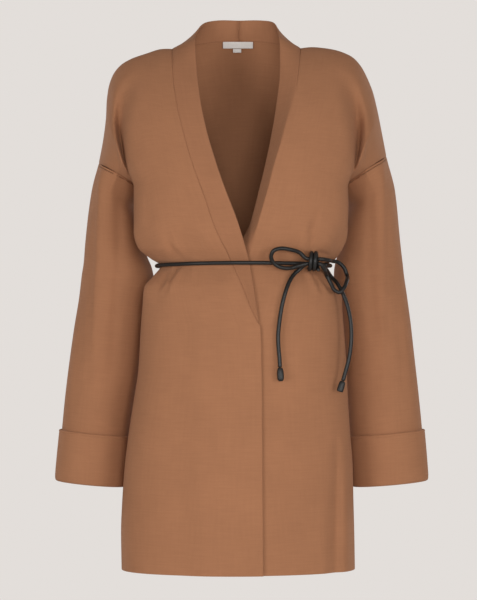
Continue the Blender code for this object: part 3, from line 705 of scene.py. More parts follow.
def make_mesh(name: str, points: Array, quads: Array, uv: Array, material: bpy.types.Material,
              inside: Array | None = None, caps: tuple = ()) -> bpy.types.Object:
    """Put a closed mesh of quads and caps into the scene with its faces outward.

    The sign of the volume, a sum of corner triple products, says which way it faces.

    Args:
        name: Name of the piece.
        points: Points in millimetres.
        quads: Four point numbers for each face.
        uv: Map place for each corner of each quad.
        material: Finish of the piece.
        inside: For each point, 1 where it is on the inner face of the cloth.
        caps: Rings of point numbers that close the ends.

    Returns:
        The new object.
    """
    a, b, c, d = (points[quads[:, k]] for k in range(4))
    volume = np.sum(a * np.cross(b, c)) + np.sum(a * np.cross(c, d))
    if volume < 0.0:
        quads, uv = quads[:, ::-1], uv[:, ::-1]
        caps = tuple(ring[::-1] for ring in caps)
    corners = np.concatenate([quads.ravel(), *[np.asarray(ring) for ring in caps]])
    sizes = np.concatenate([np.full(len(quads), 4), np.array([len(r) for r in caps], int)])
    starts = np.concatenate([[0], np.cumsum(sizes)[:-1]])
    flat = np.concatenate([uv.reshape(-1, 2), np.zeros((len(corners) - quads.size, 2))])
    mesh = bpy.data.meshes.new(name)
    mesh.vertices.add(len(points))
    mesh.vertices.foreach_set("co", (points * MM).astype(np.float32).ravel())
    mesh.loops.add(len(corners))
    mesh.loops.foreach_set("vertex_index", corners.astype(np.int32))
    mesh.polygons.add(len(sizes))
    mesh.polygons.foreach_set("loop_start", starts.astype(np.int32))
    mesh.polygons.foreach_set("use_smooth", np.ones(len(sizes), bool))
    mesh.update(calc_edges=True)
    mesh.uv_layers.new(name="UVMap").data.foreach_set("uv", flat.astype(np.float32).ravel())
    if inside is not None:
        mark = mesh.attributes.new("inside", "FLOAT", "POINT")
        mark.data.foreach_set("value", inside.astype(np.float32))
    mesh.validate()
    mesh.materials.append(material)
    piece = bpy.data.objects.new(name, mesh)
    bpy.context.scene.collection.objects.link(piece)
    return piece


def seat(piece: bpy.types.Object, node: str) -> bpy.types.Object:
    """Let a piece take the place of its plain solid, riding on the one body."""
    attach(piece, "root")
    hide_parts(node)
    log.info("%s: %d faces", piece.name, len(piece.data.polygons))
    return piece


@dataclass
class Shell:
    """The sewn shell: back, fronts, sleeves and the two halves of the neckband."""

    body: Body = field(default_factory=Body)
    cloth: float = 2.0
    band_cloth: float = 2.8
    arm_deep: float = 62.0
    neck_span: float = 4.0
    panel_span: float = 13.0
    seam_sink: float = 0.4
    seam_gap: float = 0.1
    sheets: dict = field(default_factory=dict)

    def panel_stations(self) -> Array:
        """Column places of a panel, closer together near its two edges."""
        close = np.array([0.0, 0.008, 0.025, 0.06, 0.11, 0.18, 0.29])
        inner = np.arange(0.5, self.panel_span - 0.4, 0.25)
        return np.concatenate([close, inner, (self.panel_span - close)[::-1]])

    def lower_heights(self) -> Array:
        """Row heights from the hem to the underarm, closer together at the hem."""
        rows = refine(LOWER_ROWS, 4)
        close = LOWER_ROWS[0] + np.array([0.12, 0.35, 0.8])
        return np.sort(np.concatenate([rows, close]))

    def upper_rises(self) -> Array:
        """Shares of the climb from the underarm to the shoulder, closer near the top."""
        return np.concatenate([np.linspace(0.0, 1.0, 45)[:-1], [0.987, 0.994, 0.998, 1.0]])

    def seam_across(self, z: Array, side: Side) -> Array:
        """Where the front edge of a panel lies: neckband seam, then front edge."""
        below = column(CUTS[side].edge, 1, z)
        above = column(CUTS[side].band, 1, z)
        return np.where(z < BAND_END_Z - 0.5, below, above)

    def chest_fall(self, share: Array, power: Array) -> Array:
        """How far a column has turned back to the shoulder: 1 - (1 - s^p)^(1/p)."""
        return 1.0 - (1.0 - np.clip(share, 0.0, 1.0) ** power) ** (1.0 / power)

    def front_seam_point(self, z: Array, side: Side) -> Array:
        """Point of the neckband seam or front edge at a height.

        Below the underarm it lies on the body. Above, it falls back to the shoulder.

        Args:
            z: Heights.
            side: Side of the wearer.

        Returns:
            Points of the seam.
        """
        body = self.body
        z = np.asarray(z, float)
        low = np.minimum(z, UNDERARM_Z)
        x_low = self.seam_across(low, side)
        base = body.point(body.front_angle(x_low, low), low, body.lap_out(x_low, low, side))
        top = CUTS[side].band[0]
        share = (z - UNDERARM_Z) / (top[0] - UNDERARM_Z)
        x_start = self.seam_across(np.float64(UNDERARM_Z), side)
        start = body.point(body.front_angle(x_start, UNDERARM_Z), UNDERARM_Z)
        y_high = start[1] + (2.0 - start[1]) * self.chest_fall(share, 1.5)
        x_high = self.seam_across(np.maximum(z, UNDERARM_Z), side)
        high = np.stack([x_high, y_high, z], axis=-1)
        return np.where((z > UNDERARM_Z)[..., None], high, base)

    def arm_ring(self, side: Side, share: Array, front: bool) -> Array:
        """Point of the armhole seam, half an oval from the underarm to the outer arm.

        Args:
            side: Side of the wearer.
            share: 0 at the underarm, 1 at the outer arm.
            front: Whether it is the front half.

        Returns:
            Points of the seam.
        """
        under = self.body.point(self.body.side_angle(UNDERARM_Z, side), UNDERARM_Z)
        outer = np.asarray(CUTS[side].ridge[-1], float)
        turn = np.pi * np.asarray(share, float)[..., None]
        sway = np.array([0.0, -self.arm_deep if front else self.arm_deep, 0.0])
        along = np.cos(turn)
        along = np.where(along > 0.0, np.abs(along) ** 1.8, along)
        return 0.5 * (under + outer) - 0.5 * (outer - under) * along + sway * np.sin(turn)

    def yoke(self, side: Side, front: bool) -> tuple[Array, Array]:
        """Grid of the body above the underarm.

        A column climbs from the ring at the underarm to the top line and turns back
        as it nears it. Its ends are drawn onto the armhole and the neckband seam,
        and a trough between chest and arm fades towards the shoulder.

        Args:
            side: Side of the wearer.
            front: Whether it is the front or the back.

        Returns:
            The grid, and the shares of its columns.
        """
        cut = CUTS[side]
        rise = self.upper_rises()[:, None]
        station = self.panel_stations()
        head = line_through(cut.ridge, station / self.panel_span)
        end = self.body.side_angle(UNDERARM_Z, side)
        if front:
            x_start = self.seam_across(np.float64(UNDERARM_Z), side)
            start = self.body.front_angle(x_start, UNDERARM_Z)
            v = station / self.panel_span
            neck = np.zeros_like(v)
        else:
            nape = np.arange(0.0, self.neck_span, 0.25)
            collar = np.asarray(cut.collar, float)[:, :3]
            head = np.concatenate([line_through(collar, nape / self.neck_span), head])
            start = -0.5 * math.pi if side is Side.LEFT else 1.5 * math.pi
            station = np.concatenate([nape, self.neck_span + station])
            v = station / (self.neck_span + self.panel_span)
            neck = 1.0 - ease(station, 0.0, self.neck_span + 0.5)
        foot = self.body.point(start + (end - start) * v, np.full_like(v, UNDERARM_Z))
        power = 1.5 + 0.5 * ease(v, 0.3, 0.9)
        climb = np.sin(0.5 * np.pi * rise) ** 1.25
        fall = (1.0 - neck) * self.chest_fall(climb, power) + neck * climb**2.4
        x = foot[:, 0] + (head[:, 0] - foot[:, 0]) * climb
        y = foot[:, 1] + (head[:, 1] - foot[:, 1]) * fall
        z = foot[:, 2] + (head[:, 2] - foot[:, 2]) * climb
        grid = np.stack([x, y, z], axis=-1)
        arm = self.arm_ring(side, self.upper_rises(), front)
        near = ease(v, 0.52, 1.0)[None, :, None]
        grid = grid + near * (arm - grid[:, -1])[:, None, :]
        if front:
            climbed = UNDERARM_Z + (head[0, 2] - UNDERARM_Z) * climb[:, 0]
            pull = ((1.0 - v) ** 3)[None, :, None]
            grid = grid + pull * (self.front_seam_point(climbed, side) - grid[:, 0])[:, None, :]
        depth = 26.0 if front else -14.0
        depth = depth * ease(rise, 0.02, 0.34) * (1.0 - ease(rise, 0.40, 0.72))
        line = 0.88 - (0.85 if front else 0.30) * rise
        trough = np.exp(-(((v[None, :] - line) / 0.11) ** 2))
        grid[..., 1] += depth * trough * (1.0 - ease(v[None, :], 0.93, 1.0))
        return grid, v

    def panel(self, side: Side, front: bool) -> Array:
        """Grid of a front, or of half the back, from the hem to the shoulder."""
        upper, v = self.yoke(side, front)
        z = self.lower_heights()[:, None]
        end = self.body.side_angle(z, side)
        if front:
            start = self.body.front_angle(self.seam_across(z, side), z)
        else:
            start = np.full_like(z, -0.5 * math.pi if side is Side.LEFT else 1.5 * math.pi)
        t = start + (end - start) * v[None, :]
        flat = self.body.point(t, z)
        out = self.body.lap_out(flat[..., 0], z + 0.0 * t, side) if front else 0.0
        return np.concatenate([self.body.point(t, z, out)[:-1], upper])

    def sleeve_ring(self, side: Side, down: Array, turn: Array) -> Array:
        """Point of a sleeve, an oval turned and tilted, a distance below its seam.

        Args:
            side: Side of the wearer.
            down: Distance down.
            turn: Angle from the underarm over the front.

        Returns:
            Points of the sleeve.
        """
        table = CUTS[side].sleeve
        down, turn = np.broadcast_arrays(np.asarray(down, float), np.asarray(turn, float))
        height = table[0][0] - down
        outer, inner, mid_y, deep, twist, rise = (column(table, k, height) for k in range(1, 7))
        swing = np.radians(twist) * side.value
        across = -0.5 * (outer - inner) * np.cos(turn)
        ahead = -deep * np.sin(turn)
        x = 0.5 * (outer + inner) + across * np.cos(swing) - ahead * np.sin(swing)
        y = mid_y + across * np.sin(swing) + ahead * np.cos(swing)
        return np.stack([x, y, height - rise * np.cos(turn)], axis=-1)

    def sleeve(self, side: Side, seam: Array) -> Array:
        """Grid of a sleeve, whose first rings pass from the armhole seam to its own."""
        rises = self.upper_rises()
        turn = np.pi * np.concatenate([rises, 2.0 - rises[-2:0:-1]])
        close = np.array([0.12, 0.35, 0.8, 1.6, 2.8, 4.6])
        down = np.sort(np.concatenate([refine(SLEEVE_ROWS, 5), close]))
        grid = self.sleeve_ring(side, down[:, None], turn[None, :])
        first = self.sleeve_ring(side, 0.0, turn)
        fade = (1.0 - ease(down, 0.0, 38.0))[:, None, None]
        return grid + fade * (seam - first)[None]

    def band(self, side: Side, heights: Array) -> Array:
        """Grid of half the neckband, from the back neck down the front.

        Args:
            side: Side of the wearer.
            heights: Heights of the panel's rows along the seam, highest first.

        Returns:
            The grid, its columns running from the seam to the free edge.
        """
        collar = np.asarray(CUTS[side].collar, float)
        share = np.arange(0.0, self.neck_span, 0.25) / self.neck_span
        front_seam = self.front_seam_point(heights, side)
        x_edge, z_edge, behind = (column(CUTS[side].band, k, heights) for k in (2, 3, 4))
        z_low = np.minimum(z_edge, UNDERARM_Z)
        out = self.body.lap_out(x_edge, z_low, side)
        face = self.body.point(self.body.front_angle(x_edge, z_low), z_low, out)
        follow = ease(heights, UNDERARM_Z + 30.0, UNDERARM_Z - 10.0)
        y_edge = front_seam[:, 1] * (1.0 - follow) + face[:, 1] * follow + behind
        front_edge = np.stack([x_edge, y_edge, z_edge], axis=-1)
        seam = np.concatenate([line_through(collar[:, :3], share), front_seam])
        edge = np.concatenate([line_through(collar[:, 3:], share), front_edge])
        close = np.array([0.0, 0.004, 0.014, 0.035, 0.07, 0.13, 0.22, 0.34])
        across = np.concatenate([close, [0.5], 1.0 - close[::-1]])[None, :, None]
        return seam[:, None, :] * (1.0 - across) + edge[:, None, :] * across

    def cut_out(self) -> None:
        """Work out every sheet with the directions out of it."""
        base = len(self.lower_heights()) - 1
        panels = {}
        for side in Side:
            panels["front_" + side.word] = self.panel(side, True)
        right_half, left_half = (self.panel(side, False) for side in Side)
        panels["back"] = np.concatenate([right_half[:, ::-1], left_half[:, 1:]], axis=1)
        for name, grid in panels.items():
            normals = grid_normals(grid)
            middle = grid.mean(axis=(0, 1))
            middle[1] = 0.0
            low = slice(0, base - 30)
            normals *= np.sign(np.sum(normals[low] * (grid[low] - middle)))
            self.sheets[name] = Sheet(name, grid, normals, self.cloth)
        for side in Side:
            self.sew_sleeve(side, base)
            self.sew_band(side)
        average(self.sheets["neckband_right"].normals[0], self.sheets["neckband_left"].normals[0])
        gap = self.seam_gap
        for side in Side:
            self.sheets["front_" + side.word].pull_back(("first", "last", "high"), gap)
            self.sheets["sleeve_" + side.word].pull_back(("low",), -gap)
            self.sheets["neckband_" + side.word].pull_back(("low", "first"), -gap)
        self.sheets["back"].pull_back(("first", "last", "high"), gap)

    def sew_sleeve(self, side: Side, base: int) -> None:
        """Make a sleeve that starts at the armhole, with directions shared along the seam.

        Args:
            side: Side of the wearer.
            base: Number of the row at the underarm.
        """
        front, back = self.sheets["front_" + side.word], self.sheets["back"]
        edge = 0 if side is Side.RIGHT else -1
        seam = np.concatenate([front.grid[base:, -1], back.grid[base:, edge][-2:0:-1]])
        grid = self.sleeve(side, seam)
        out = grid_normals(grid, closed=True)
        out *= np.sign(np.sum(out * (grid - grid.mean(axis=1, keepdims=True))))
        count = len(self.panel_stations())
        top_back = back.normals[-1, :count][::-1] if side is Side.RIGHT else back.normals[-1, -count:]
        last = len(self.upper_rises()) - 1
        for _ in range(3):
            average(front.normals[:base + 1, -1], back.normals[:base + 1, edge])
            average(front.normals[-1], top_back)
            average(front.normals[base:, -1], out[0, : last + 1])
            average(back.normals[base + 1:, edge][::-1], out[0, last:])
            average(back.normals[base, edge], front.normals[base, -1], out[0, 0])
            average(back.normals[-1, edge], front.normals[-1, -1], out[0, last])
        self.sheets["sleeve_" + side.word] = Sheet("sleeve_" + side.word, grid, out, self.cloth,
                                                   closed=True)

    def sew_band(self, side: Side) -> None:
        """Make half the neckband, with directions shared along its seam."""
        front, back = self.sheets["front_" + side.word], self.sheets["back"]
        heights = front.grid[:, 0, 2]
        first = int(np.argmax(heights >= BAND_END_Z - 0.5))
        grid = self.band(side, heights[first:][::-1])
        out = grid_normals(grid)
        out *= -np.sign(np.sum(out[-6:, :, 1]))
        nape = len(np.arange(0.0, self.neck_span, 0.25))
        average(front.normals[first:, 0][::-1], out[nape:, 0])
        count = len(self.panel_stations())
        neck = back.normals[-1]
        if side is Side.RIGHT:
            part = neck[count: count + nape][::-1]
        else:
            part = neck[-count - nape: -count]
        average(part, out[:nape, 0])
        self.sheets["neckband_" + side.word] = Sheet("neckband_" + side.word, grid, out,
                                                     self.band_cloth)

    def crease(self) -> None:
        """Move the cloth out and in by the listed creases."""
        jobs = [("back", BACK_CREASES, 1.0)]
        for side in Side:
            jobs.append(("front_" + side.word, FRONT_CREASES[side], -1.0))
            jobs.append(("sleeve_" + side.word, SLEEVE_CREASES[side], -1.0))
        for name, creases, facing in jobs:
            sheet = self.sheets[name]
            x, z = sheet.grid[..., 0], sheet.grid[..., 2]
            rise = sum(crease.field(x, z) for crease in creases)
            faces = ease(facing * sheet.normals[..., 1], 0.15, 0.6)
            hem = ease(-sheet.edge_runs()["high"], -14.0, -4.0)
            sheet.grid = sheet.grid + sheet.normals * (rise * faces * (1.0 - hem))[..., None]

    def build(self, knit: "KnitFinish", band_knit: "KnitFinish") -> None:
        """Build and seat every sheet of the shell.

        Args:
            knit: Finish of the panels and sleeves.
            band_knit: Finish of the neckband.
        """
        self.cut_out()
        self.crease()
        cloth, band = knit.material(), band_knit.material()
        for name, sheet in self.sheets.items():
            banded = name.startswith("neckband")
            sheet.soft_edges = {"first": self.seam_sink, "last": self.seam_sink,
                                "high": self.seam_sink, "low": 0.0}
            if banded:
                sheet.soft_edges = {"first": self.seam_sink, "low": 0.3}
            if sheet.closed:
                sheet.soft_edges = {"low": 0.2}
            piece = sheet.build(band if banded else cloth)
            seat(piece, name)
            piece.name = name + "_cloth"


@dataclass
class Cuff:
    """A turned-up cuff: a folded band swept round the end of a sleeve."""

    shell: Shell
    side: Side
    top: float = 415.0
    around: int = 120

    def section(self) -> Array:
        """The folded section, each step of it split in three."""
        spots = np.asarray(CUFF_SECTION + CUFF_SECTION[:1], float)
        return np.stack([refine(spots[:, 0], 3)[:-1], refine(spots[:, 1], 3)[:-1]], axis=1)

    def build(self, cloth: bpy.types.Material) -> bpy.types.Object:
        """Sweep the section round the sleeve.

        A place of the section is the sleeve's own point that far down, moved straight
        out of the sleeve.

        Args:
            cloth: Finish of the cuff.

        Returns:
            The cuff.
        """
        turn = np.arange(self.around) * 2.0 * np.pi / self.around
        section = self.section()
        down = self.top + section[:, 1][None, :]
        ring_at = self.shell.sleeve_ring
        ring = ring_at(self.side, down, turn[:, None])
        over = ring_at(self.side, down, turn[:, None] + 0.02) - ring_at(
            self.side, down, turn[:, None] - 0.02)
        along = ring_at(self.side, down + 1.0, turn[:, None]) - ring_at(
            self.side, down - 1.0, turn[:, None])
        out = unit(np.cross(over, along))
        centre = 0.5 * (ring + ring_at(self.side, down, turn[:, None] + np.pi))
        out *= np.sign(np.sum(out * (ring - centre)))
        wave = 0.35 * np.sin(3.0 * turn + 1.0) + 0.25 * np.sin(7.0 * turn)
        swell = (section[:, 0] > 3.0) * ease(section[:, 1], 4.0, 20.0)
        points = ring + out * (section[:, 0] + wave[:, None] * swell)[..., None]
        name = "cuff_" + self.side.word
        index = np.arange(points.shape[0] * points.shape[1]).reshape(points.shape[:2])
        wrapped = np.concatenate([index, index[:1]])
        wrapped = np.concatenate([wrapped, wrapped[:, :1]], axis=1)
        loop = np.concatenate([points, points[:1]])
        loop = np.concatenate([loop, loop[:, :1]], axis=1)
        round_run = run_along(loop, 0).mean(axis=1)
        section_run = run_along(loop, 1).mean(axis=0)
        uv = np.stack(np.meshgrid(round_run, section_run, indexing="ij"), axis=-1) * MM
        piece = make_mesh(name, points.reshape(-1, 3), patch(wrapped), patch(uv), cloth,
                          np.zeros(points.shape[0] * points.shape[1]))
        seat(piece, name)
        piece.name = name + "_cloth"
        return piece


@dataclass(frozen=True)
class CordRoute:
    """Route of one piece of the belt: across, height and out from the body."""

    name: str
    spots: tuple


LOOP_RIGHT = CordRoute("belt_loop_right", (
    (115.0, -342.7, 0), (108.5, -341.8, 0), (98, -333, 6), (82, -328, 10), (67, -326.5, 10),
    (57, -330, 12.5), (53, -338, 13.7), (54.5, -345, 13.7), (60, -351.5, 13.7),
    (68, -355.5, 13.5), (78, -357, 13), (89, -355.5, 12), (99, -352.5, 9),
    (108.5, -350, 0.5), (115.0, -349.3, 0),
))
LOOP_LEFT = CordRoute("belt_loop_left", (
    (124.5, -342.7, 0), (131.5, -342.7, 0.5), (141, -344, 10), (150, -345, 14), (161, -347.5, 14),
    (169, -355, 14), (173.5, -366, 14), (172, -378, 15), (167, -388, 16),
    (160, -394.5, 16), (153, -391, 17), (147.5, -381, 17), (141, -369, 17),
    (135.5, -358, 10), (130.5, -351, 0.5), (124.5, -349.3, 0),
))
TAIL_RIGHT = CordRoute("belt_tail_right", (
    (115.0, -349.3, -6.6), (108.5, -350.3, -6.3), (98.5, -358, 1), (89, -366.5, 4),
    (81.5, -378, 4.5), (76, -392, 4.5), (72, -406, 4.5), (69, -420, 4.5), (66, -440, 4.5),
    (64, -460, 4.5), (64.5, -480, 4.5), (66, -497, 5), (66.8, -511, 6),
))
TAIL_LEFT = CordRoute("belt_tail_left", (
    (124.5, -349.3, -6.6), (131, -350.6, -6.3), (139.5, -358, 1), (149, -370, 7), (158, -381, 8),
    (165, -394, 6), (170, -406, 5), (174, -419, 5), (177.5, -437, 5),
    (179, -458, 5), (178, -480, 5), (174.5, -501, 5), (169, -521, 5), (165.5, -533, 6),
))


@dataclass
class Belt:
    """The cord belt: round the waist, its knot, two loops, two ends and their tips."""

    body: Body
    radius: float = 3.1
    clear: float = 1.2
    knot_out: float = 15.5
    bow_limit: float = 150.0
    tip_wide: float = 10.5
    tip_thick: float = 7.0
    around: int = 18
    level: tuple = (
        (0, -352), (30, -350.5), (60, -349), (90, -348.5), (150, -351), (180, -352.5),
        (220, -352.5), (270, -352), (320, -352), (360, -352),
    )

    def waist_route(self) -> Array:
        """Centre line round the waist, lying on the body and over the lapped front."""
        level = np.asarray(self.level, float)
        t = np.linspace(math.radians(48.0), math.radians(386.0), 240)
        z = smooth_at(level[:, 0], level[:, 1], np.degrees(t) % 360.0)
        flat = self.body.point(t, z)
        lap = self.body.lap_out(flat[:, 0], z, Side.RIGHT) * (flat[:, 1] < 0.0)
        lap = lap * (1.0 - ease(flat[:, 0], 48.0, 85.0))
        return self.body.point(t, z, self.radius + self.clear + 1.6 + lap)

    def knot_middle(self) -> Array:
        """Middle of the knot, far enough out to clear the cloth behind it."""
        x, z = np.meshgrid(np.linspace(110.0, 130.0, 9), np.linspace(-354.0, -338.0, 9))
        face = self.body.point(self.body.front_angle(x, z), z)
        return np.array([119.7, face[..., 1].min() - self.knot_out + 1.0, -346.0])

    def knot_route(self) -> Array:
        """The cord wound twice round the crossing, as a coil along X."""
        middle = self.knot_middle()
        turns = np.linspace(-0.35, 1.80, 150)
        angle = 2.0 * np.pi * turns
        x = middle[0] + 6.7 * (turns - 0.75)
        y = middle[1] - 10.6 * np.cos(angle)
        z = middle[2] + 13.0 * np.sin(angle)
        return np.stack([x, y, z], axis=1)

    def bow_route(self, route: CordRoute) -> Array:
        """Centre line of a loop or an end.

        Close to the knot the depth is the knot's own. Farther off it follows the
        body at the stated distance.

        Args:
            route: The piece's through points.

        Returns:
            Points along the smooth centre line.
        """
        x, z, out = np.asarray(route.spots, float).T
        middle = self.knot_middle()
        side = np.minimum(x, self.bow_limit)
        face = self.body.point(self.body.front_angle(side, z), z)[:, 1]
        near = 1.0 - ease(np.hypot(x - middle[0], z - middle[2]), 12.0, 34.0)
        y = (middle[1] - 3.3 - out) * near + (face - self.radius - out) * (1.0 - near)
        return line_through(np.stack([x, y, z], axis=1), np.linspace(0.0, 1.0, 120))

    def tube(self, name: str, path: Array, across: tuple, leather: bpy.types.Material,
             radii: Array | None = None, flat: float = 1.0) -> bpy.types.Object:
        """Tube along a path with rounded ends.

        A ring stands square to the path, set out by a fixed direction.

        Args:
            name: Name of the piece.
            path: Centre line.
            across: Direction that sets the rings out, never along the path.
            leather: Its finish.
            radii: Radius at each point, or None for the cord's own.
            flat: Thickness as a share of the width.

        Returns:
            The tube.
        """
        if radii is None:
            run = run_along(path[:, None], 0)[:, 0]
            inset = np.minimum(run, run[-1] - run) / (0.5 * self.radius)
            radii = self.radius * (0.72 + 0.28 * np.sqrt(1.0 - (1.0 - np.clip(inset, 0, 1)) ** 2))
        way = unit(np.gradient(path, axis=0))
        side = unit(np.cross(way, np.asarray(across, float)))
        front = unit(np.cross(side, way))
        turn = np.arange(self.around) * 2.0 * np.pi / self.around
        points = path[:, None] + radii[:, None, None] * (
            side[:, None] * np.cos(turn)[None, :, None]
            + flat * front[:, None] * np.sin(turn)[None, :, None])
        count = len(path)
        index = np.arange(count * self.around).reshape(count, self.around)
        wrapped = np.concatenate([index, index[:, :1]], axis=1)
        round_run = np.linspace(0.0, 2.0 * np.pi * self.radius, self.around + 1)
        uv = np.stack(np.meshgrid(run_along(path[:, None], 0)[:, 0], round_run, indexing="ij"),
                      axis=-1) * MM
        return make_mesh(name, points.reshape(-1, 3), patch(wrapped), patch(uv), leather,
                         caps=(index[0][::-1], index[-1]))

    def tip(self, name: str, path: Array, long: float, round_end: bool,
            leather: bpy.types.Material) -> bpy.types.Object:
        """Leather end: a flattened sheath that swells from the cord, pinched at its top.

        Args:
            name: Name of the piece.
            path: Centre line of the cord that it ends.
            long: Its length.
            round_end: Whether its end is round or square.
            leather: Its finish.

        Returns:
            The sheath.
        """
        toward = unit(path[-1] - path[-4])
        share = np.concatenate([[0.0, 0.01, 0.03, 0.06], np.linspace(0.1, 0.9, 22),
                                [0.93, 0.96, 0.98, 0.993, 1.0]])
        knots = np.array([0.0, 0.03, 0.10, 0.25, 0.5, 0.75, 0.92, 1.0])
        if round_end:
            width = smooth_at(knots, np.array([0.56, 0.70, 0.80, 0.93, 1.0, 0.98, 0.80, 0.40]), share)
        else:
            width = smooth_at(knots, np.array([0.56, 0.72, 0.82, 0.94, 1.0, 1.0, 0.97, 0.80]), share)
        line = path[-1] + toward * (0.4 + share[:, None] * long)
        return self.tube(name, line, (0.0, 1.0, 0.0), leather, 0.5 * self.tip_wide * width,
                         self.tip_thick / self.tip_wide)

    def build(self, finish: "LeatherFinish") -> None:
        """Build and seat every piece of the belt.

        Args:
            finish: Leather of the cord and its ends.
        """
        leather = finish.material()
        waist = self.tube("belt_waist_cord", self.waist_route(), (0, 0, 1), leather)
        seat(waist, "belt_waist")
        knot = self.tube("belt_knot_cord", self.knot_route(), (1, 0, 0), leather)
        seat(knot, "belt_knot")
        for route in (LOOP_RIGHT, LOOP_LEFT):
            self.cord(route, leather)
        for route, long, round_end in ((TAIL_RIGHT, 21.0, True), (TAIL_LEFT, 17.0, False)):
            name = route.name.replace("tail", "tip")
            tip = self.tip(name + "_leather", self.bow_route(route), long, round_end, leather)
            seat(tip, name)
            self.cord(route, leather)

    def cord(self, route: CordRoute, leather: bpy.types.Material) -> None:
        """Args:
            route: Its through points.
            leather: Its finish.
        """
        path = self.bow_route(route)
        piece = self.tube(route.name + "_cord", path, (0, 1, 0), leather)
        seat(piece, route.name)


@dataclass
class NeckLabel:
    """The woven neck label and the size tab under it, both left bare."""

    thick: float = 0.8

    def tape(self, name: str, left: float, right: float, top: float, low: float,
             depth_top: float, depth_low: float, sag: float,
             material: bpy.types.Material) -> bpy.types.Object:
        """Short tape, bowed a little along its width, with rounded edges.

        Args:
            name: Name of the piece.
            left: Its edge at the wearer's right.
            right: Its edge at the wearer's left.
            top: Height of its top edge.
            low: Height of its lower edge.
            depth_top: Depth of its back face at the top.
            depth_low: The same at the lower edge.
            sag: How far its middle bows forward.
            material: Its finish.

        Returns:
            The tape.
        """
        close = np.array([0.0, 0.006, 0.02])
        over = np.concatenate([close, np.linspace(0.06, 0.94, 15), 1.0 - close[::-1]])
        rows = np.concatenate([close * 3.0, np.linspace(0.12, 0.88, 8), 1.0 - 3.0 * close[::-1]])
        u, v = np.meshgrid(over, rows)
        x = left + (right - left) * u
        z = low + (top - low) * v
        y = depth_low + (depth_top - depth_low) * v - self.thick - sag * np.sin(np.pi * u)
        grid = np.stack([x, y, z], axis=-1)
        normals = np.broadcast_to(np.array([0.0, -1.0, 0.0]), grid.shape)
        return Sheet(name, grid, normals, self.thick).build(material)

    def build(self, finish: "TapeFinish") -> None:
        """Build and seat the label and the tab.

        Args:
            finish: Woven tape.
        """
        material = finish.material()
        label = self.tape("label_tape", -23.0, 26.0, 13.6, 3.0, 68.6, 71.6, 0.5, material)
        seat(label, "label")
        tab = self.tape("size_tab_tape", -6.6, 6.8, 2.4, -3.6, 71.6, 73.2, 0.2, material)
        seat(tab, "size_tab")


class NodeDesk:
    """Short calls for the nodes of one material."""

    def __init__(self, name: str) -> None:
        """Start a material with its Principled shader."""
        self.material = bpy.data.materials.new(name)
        self.material.use_nodes = True
        self.nodes = self.material.node_tree.nodes
        self.links = self.material.node_tree.links
        self.shader = self.nodes["Principled BSDF"]

    def feed(self, socket: bpy.types.NodeSocket, value: object) -> None:
        """Link a socket to an input, or set the number there."""
        if isinstance(value, bpy.types.NodeSocket):
            self.links.new(value, socket)
        else:
            socket.default_value = value

    def math(self, operation: str, *values: object) -> bpy.types.NodeSocket:
        """Work out one sum of up to three values."""
        node = self.nodes.new("ShaderNodeMath")
        node.operation = operation
        for socket, value in zip(node.inputs, values):
            self.feed(socket, value)
        return node.outputs[0]

    def noise(self, vector: bpy.types.NodeSocket, scale: float, detail: float = 2.0,
              rough: float = 0.5) -> bpy.types.NodeSocket:
        """Soft random values from 0 to 1."""
        node = self.nodes.new("ShaderNodeTexNoise")
        self.feed(node.inputs["Vector"], vector)
        node.inputs["Scale"].default_value = scale
        node.inputs["Detail"].default_value = detail
        node.inputs["Roughness"].default_value = rough
        return node.outputs[0]

    def join(self, x: object, y: object, z: object = 0.0) -> bpy.types.NodeSocket:
        """Three numbers as one vector."""
        node = self.nodes.new("ShaderNodeCombineXYZ")
        for socket, value in zip(node.inputs, (x, y, z)):
            self.feed(socket, value)
        return node.outputs[0]

    def blend(self, share: object, low: tuple, high: tuple) -> bpy.types.NodeSocket:
        """Colour between two, by a share."""
        node = self.nodes.new("ShaderNodeMix")
        node.data_type = "RGBA"
        self.feed(node.inputs[0], share)
        node.inputs[6].default_value = (*low, 1.0)
        node.inputs[7].default_value = (*high, 1.0)
        return node.outputs[2]

    def bump(self, height: bpy.types.NodeSocket, strength: float, distance: float) -> None:
        """Let a height move the shader's normal."""
        node = self.nodes.new("ShaderNodeBump")
        node.inputs["Strength"].default_value = strength
        node.inputs["Distance"].default_value = distance
        self.links.new(height, node.inputs["Height"])
        self.links.new(node.outputs[0], self.shader.inputs["Normal"])

    def place(self) -> tuple:
        """The cloth's map split in two, and the object's coordinates."""
        coordinates = self.nodes.new("ShaderNodeTexCoord")
        split = self.nodes.new("ShaderNodeSeparateXYZ")
        self.links.new(coordinates.outputs["UV"], split.inputs[0])
        return split.outputs[0], split.outputs[1], coordinates.outputs["Object"]


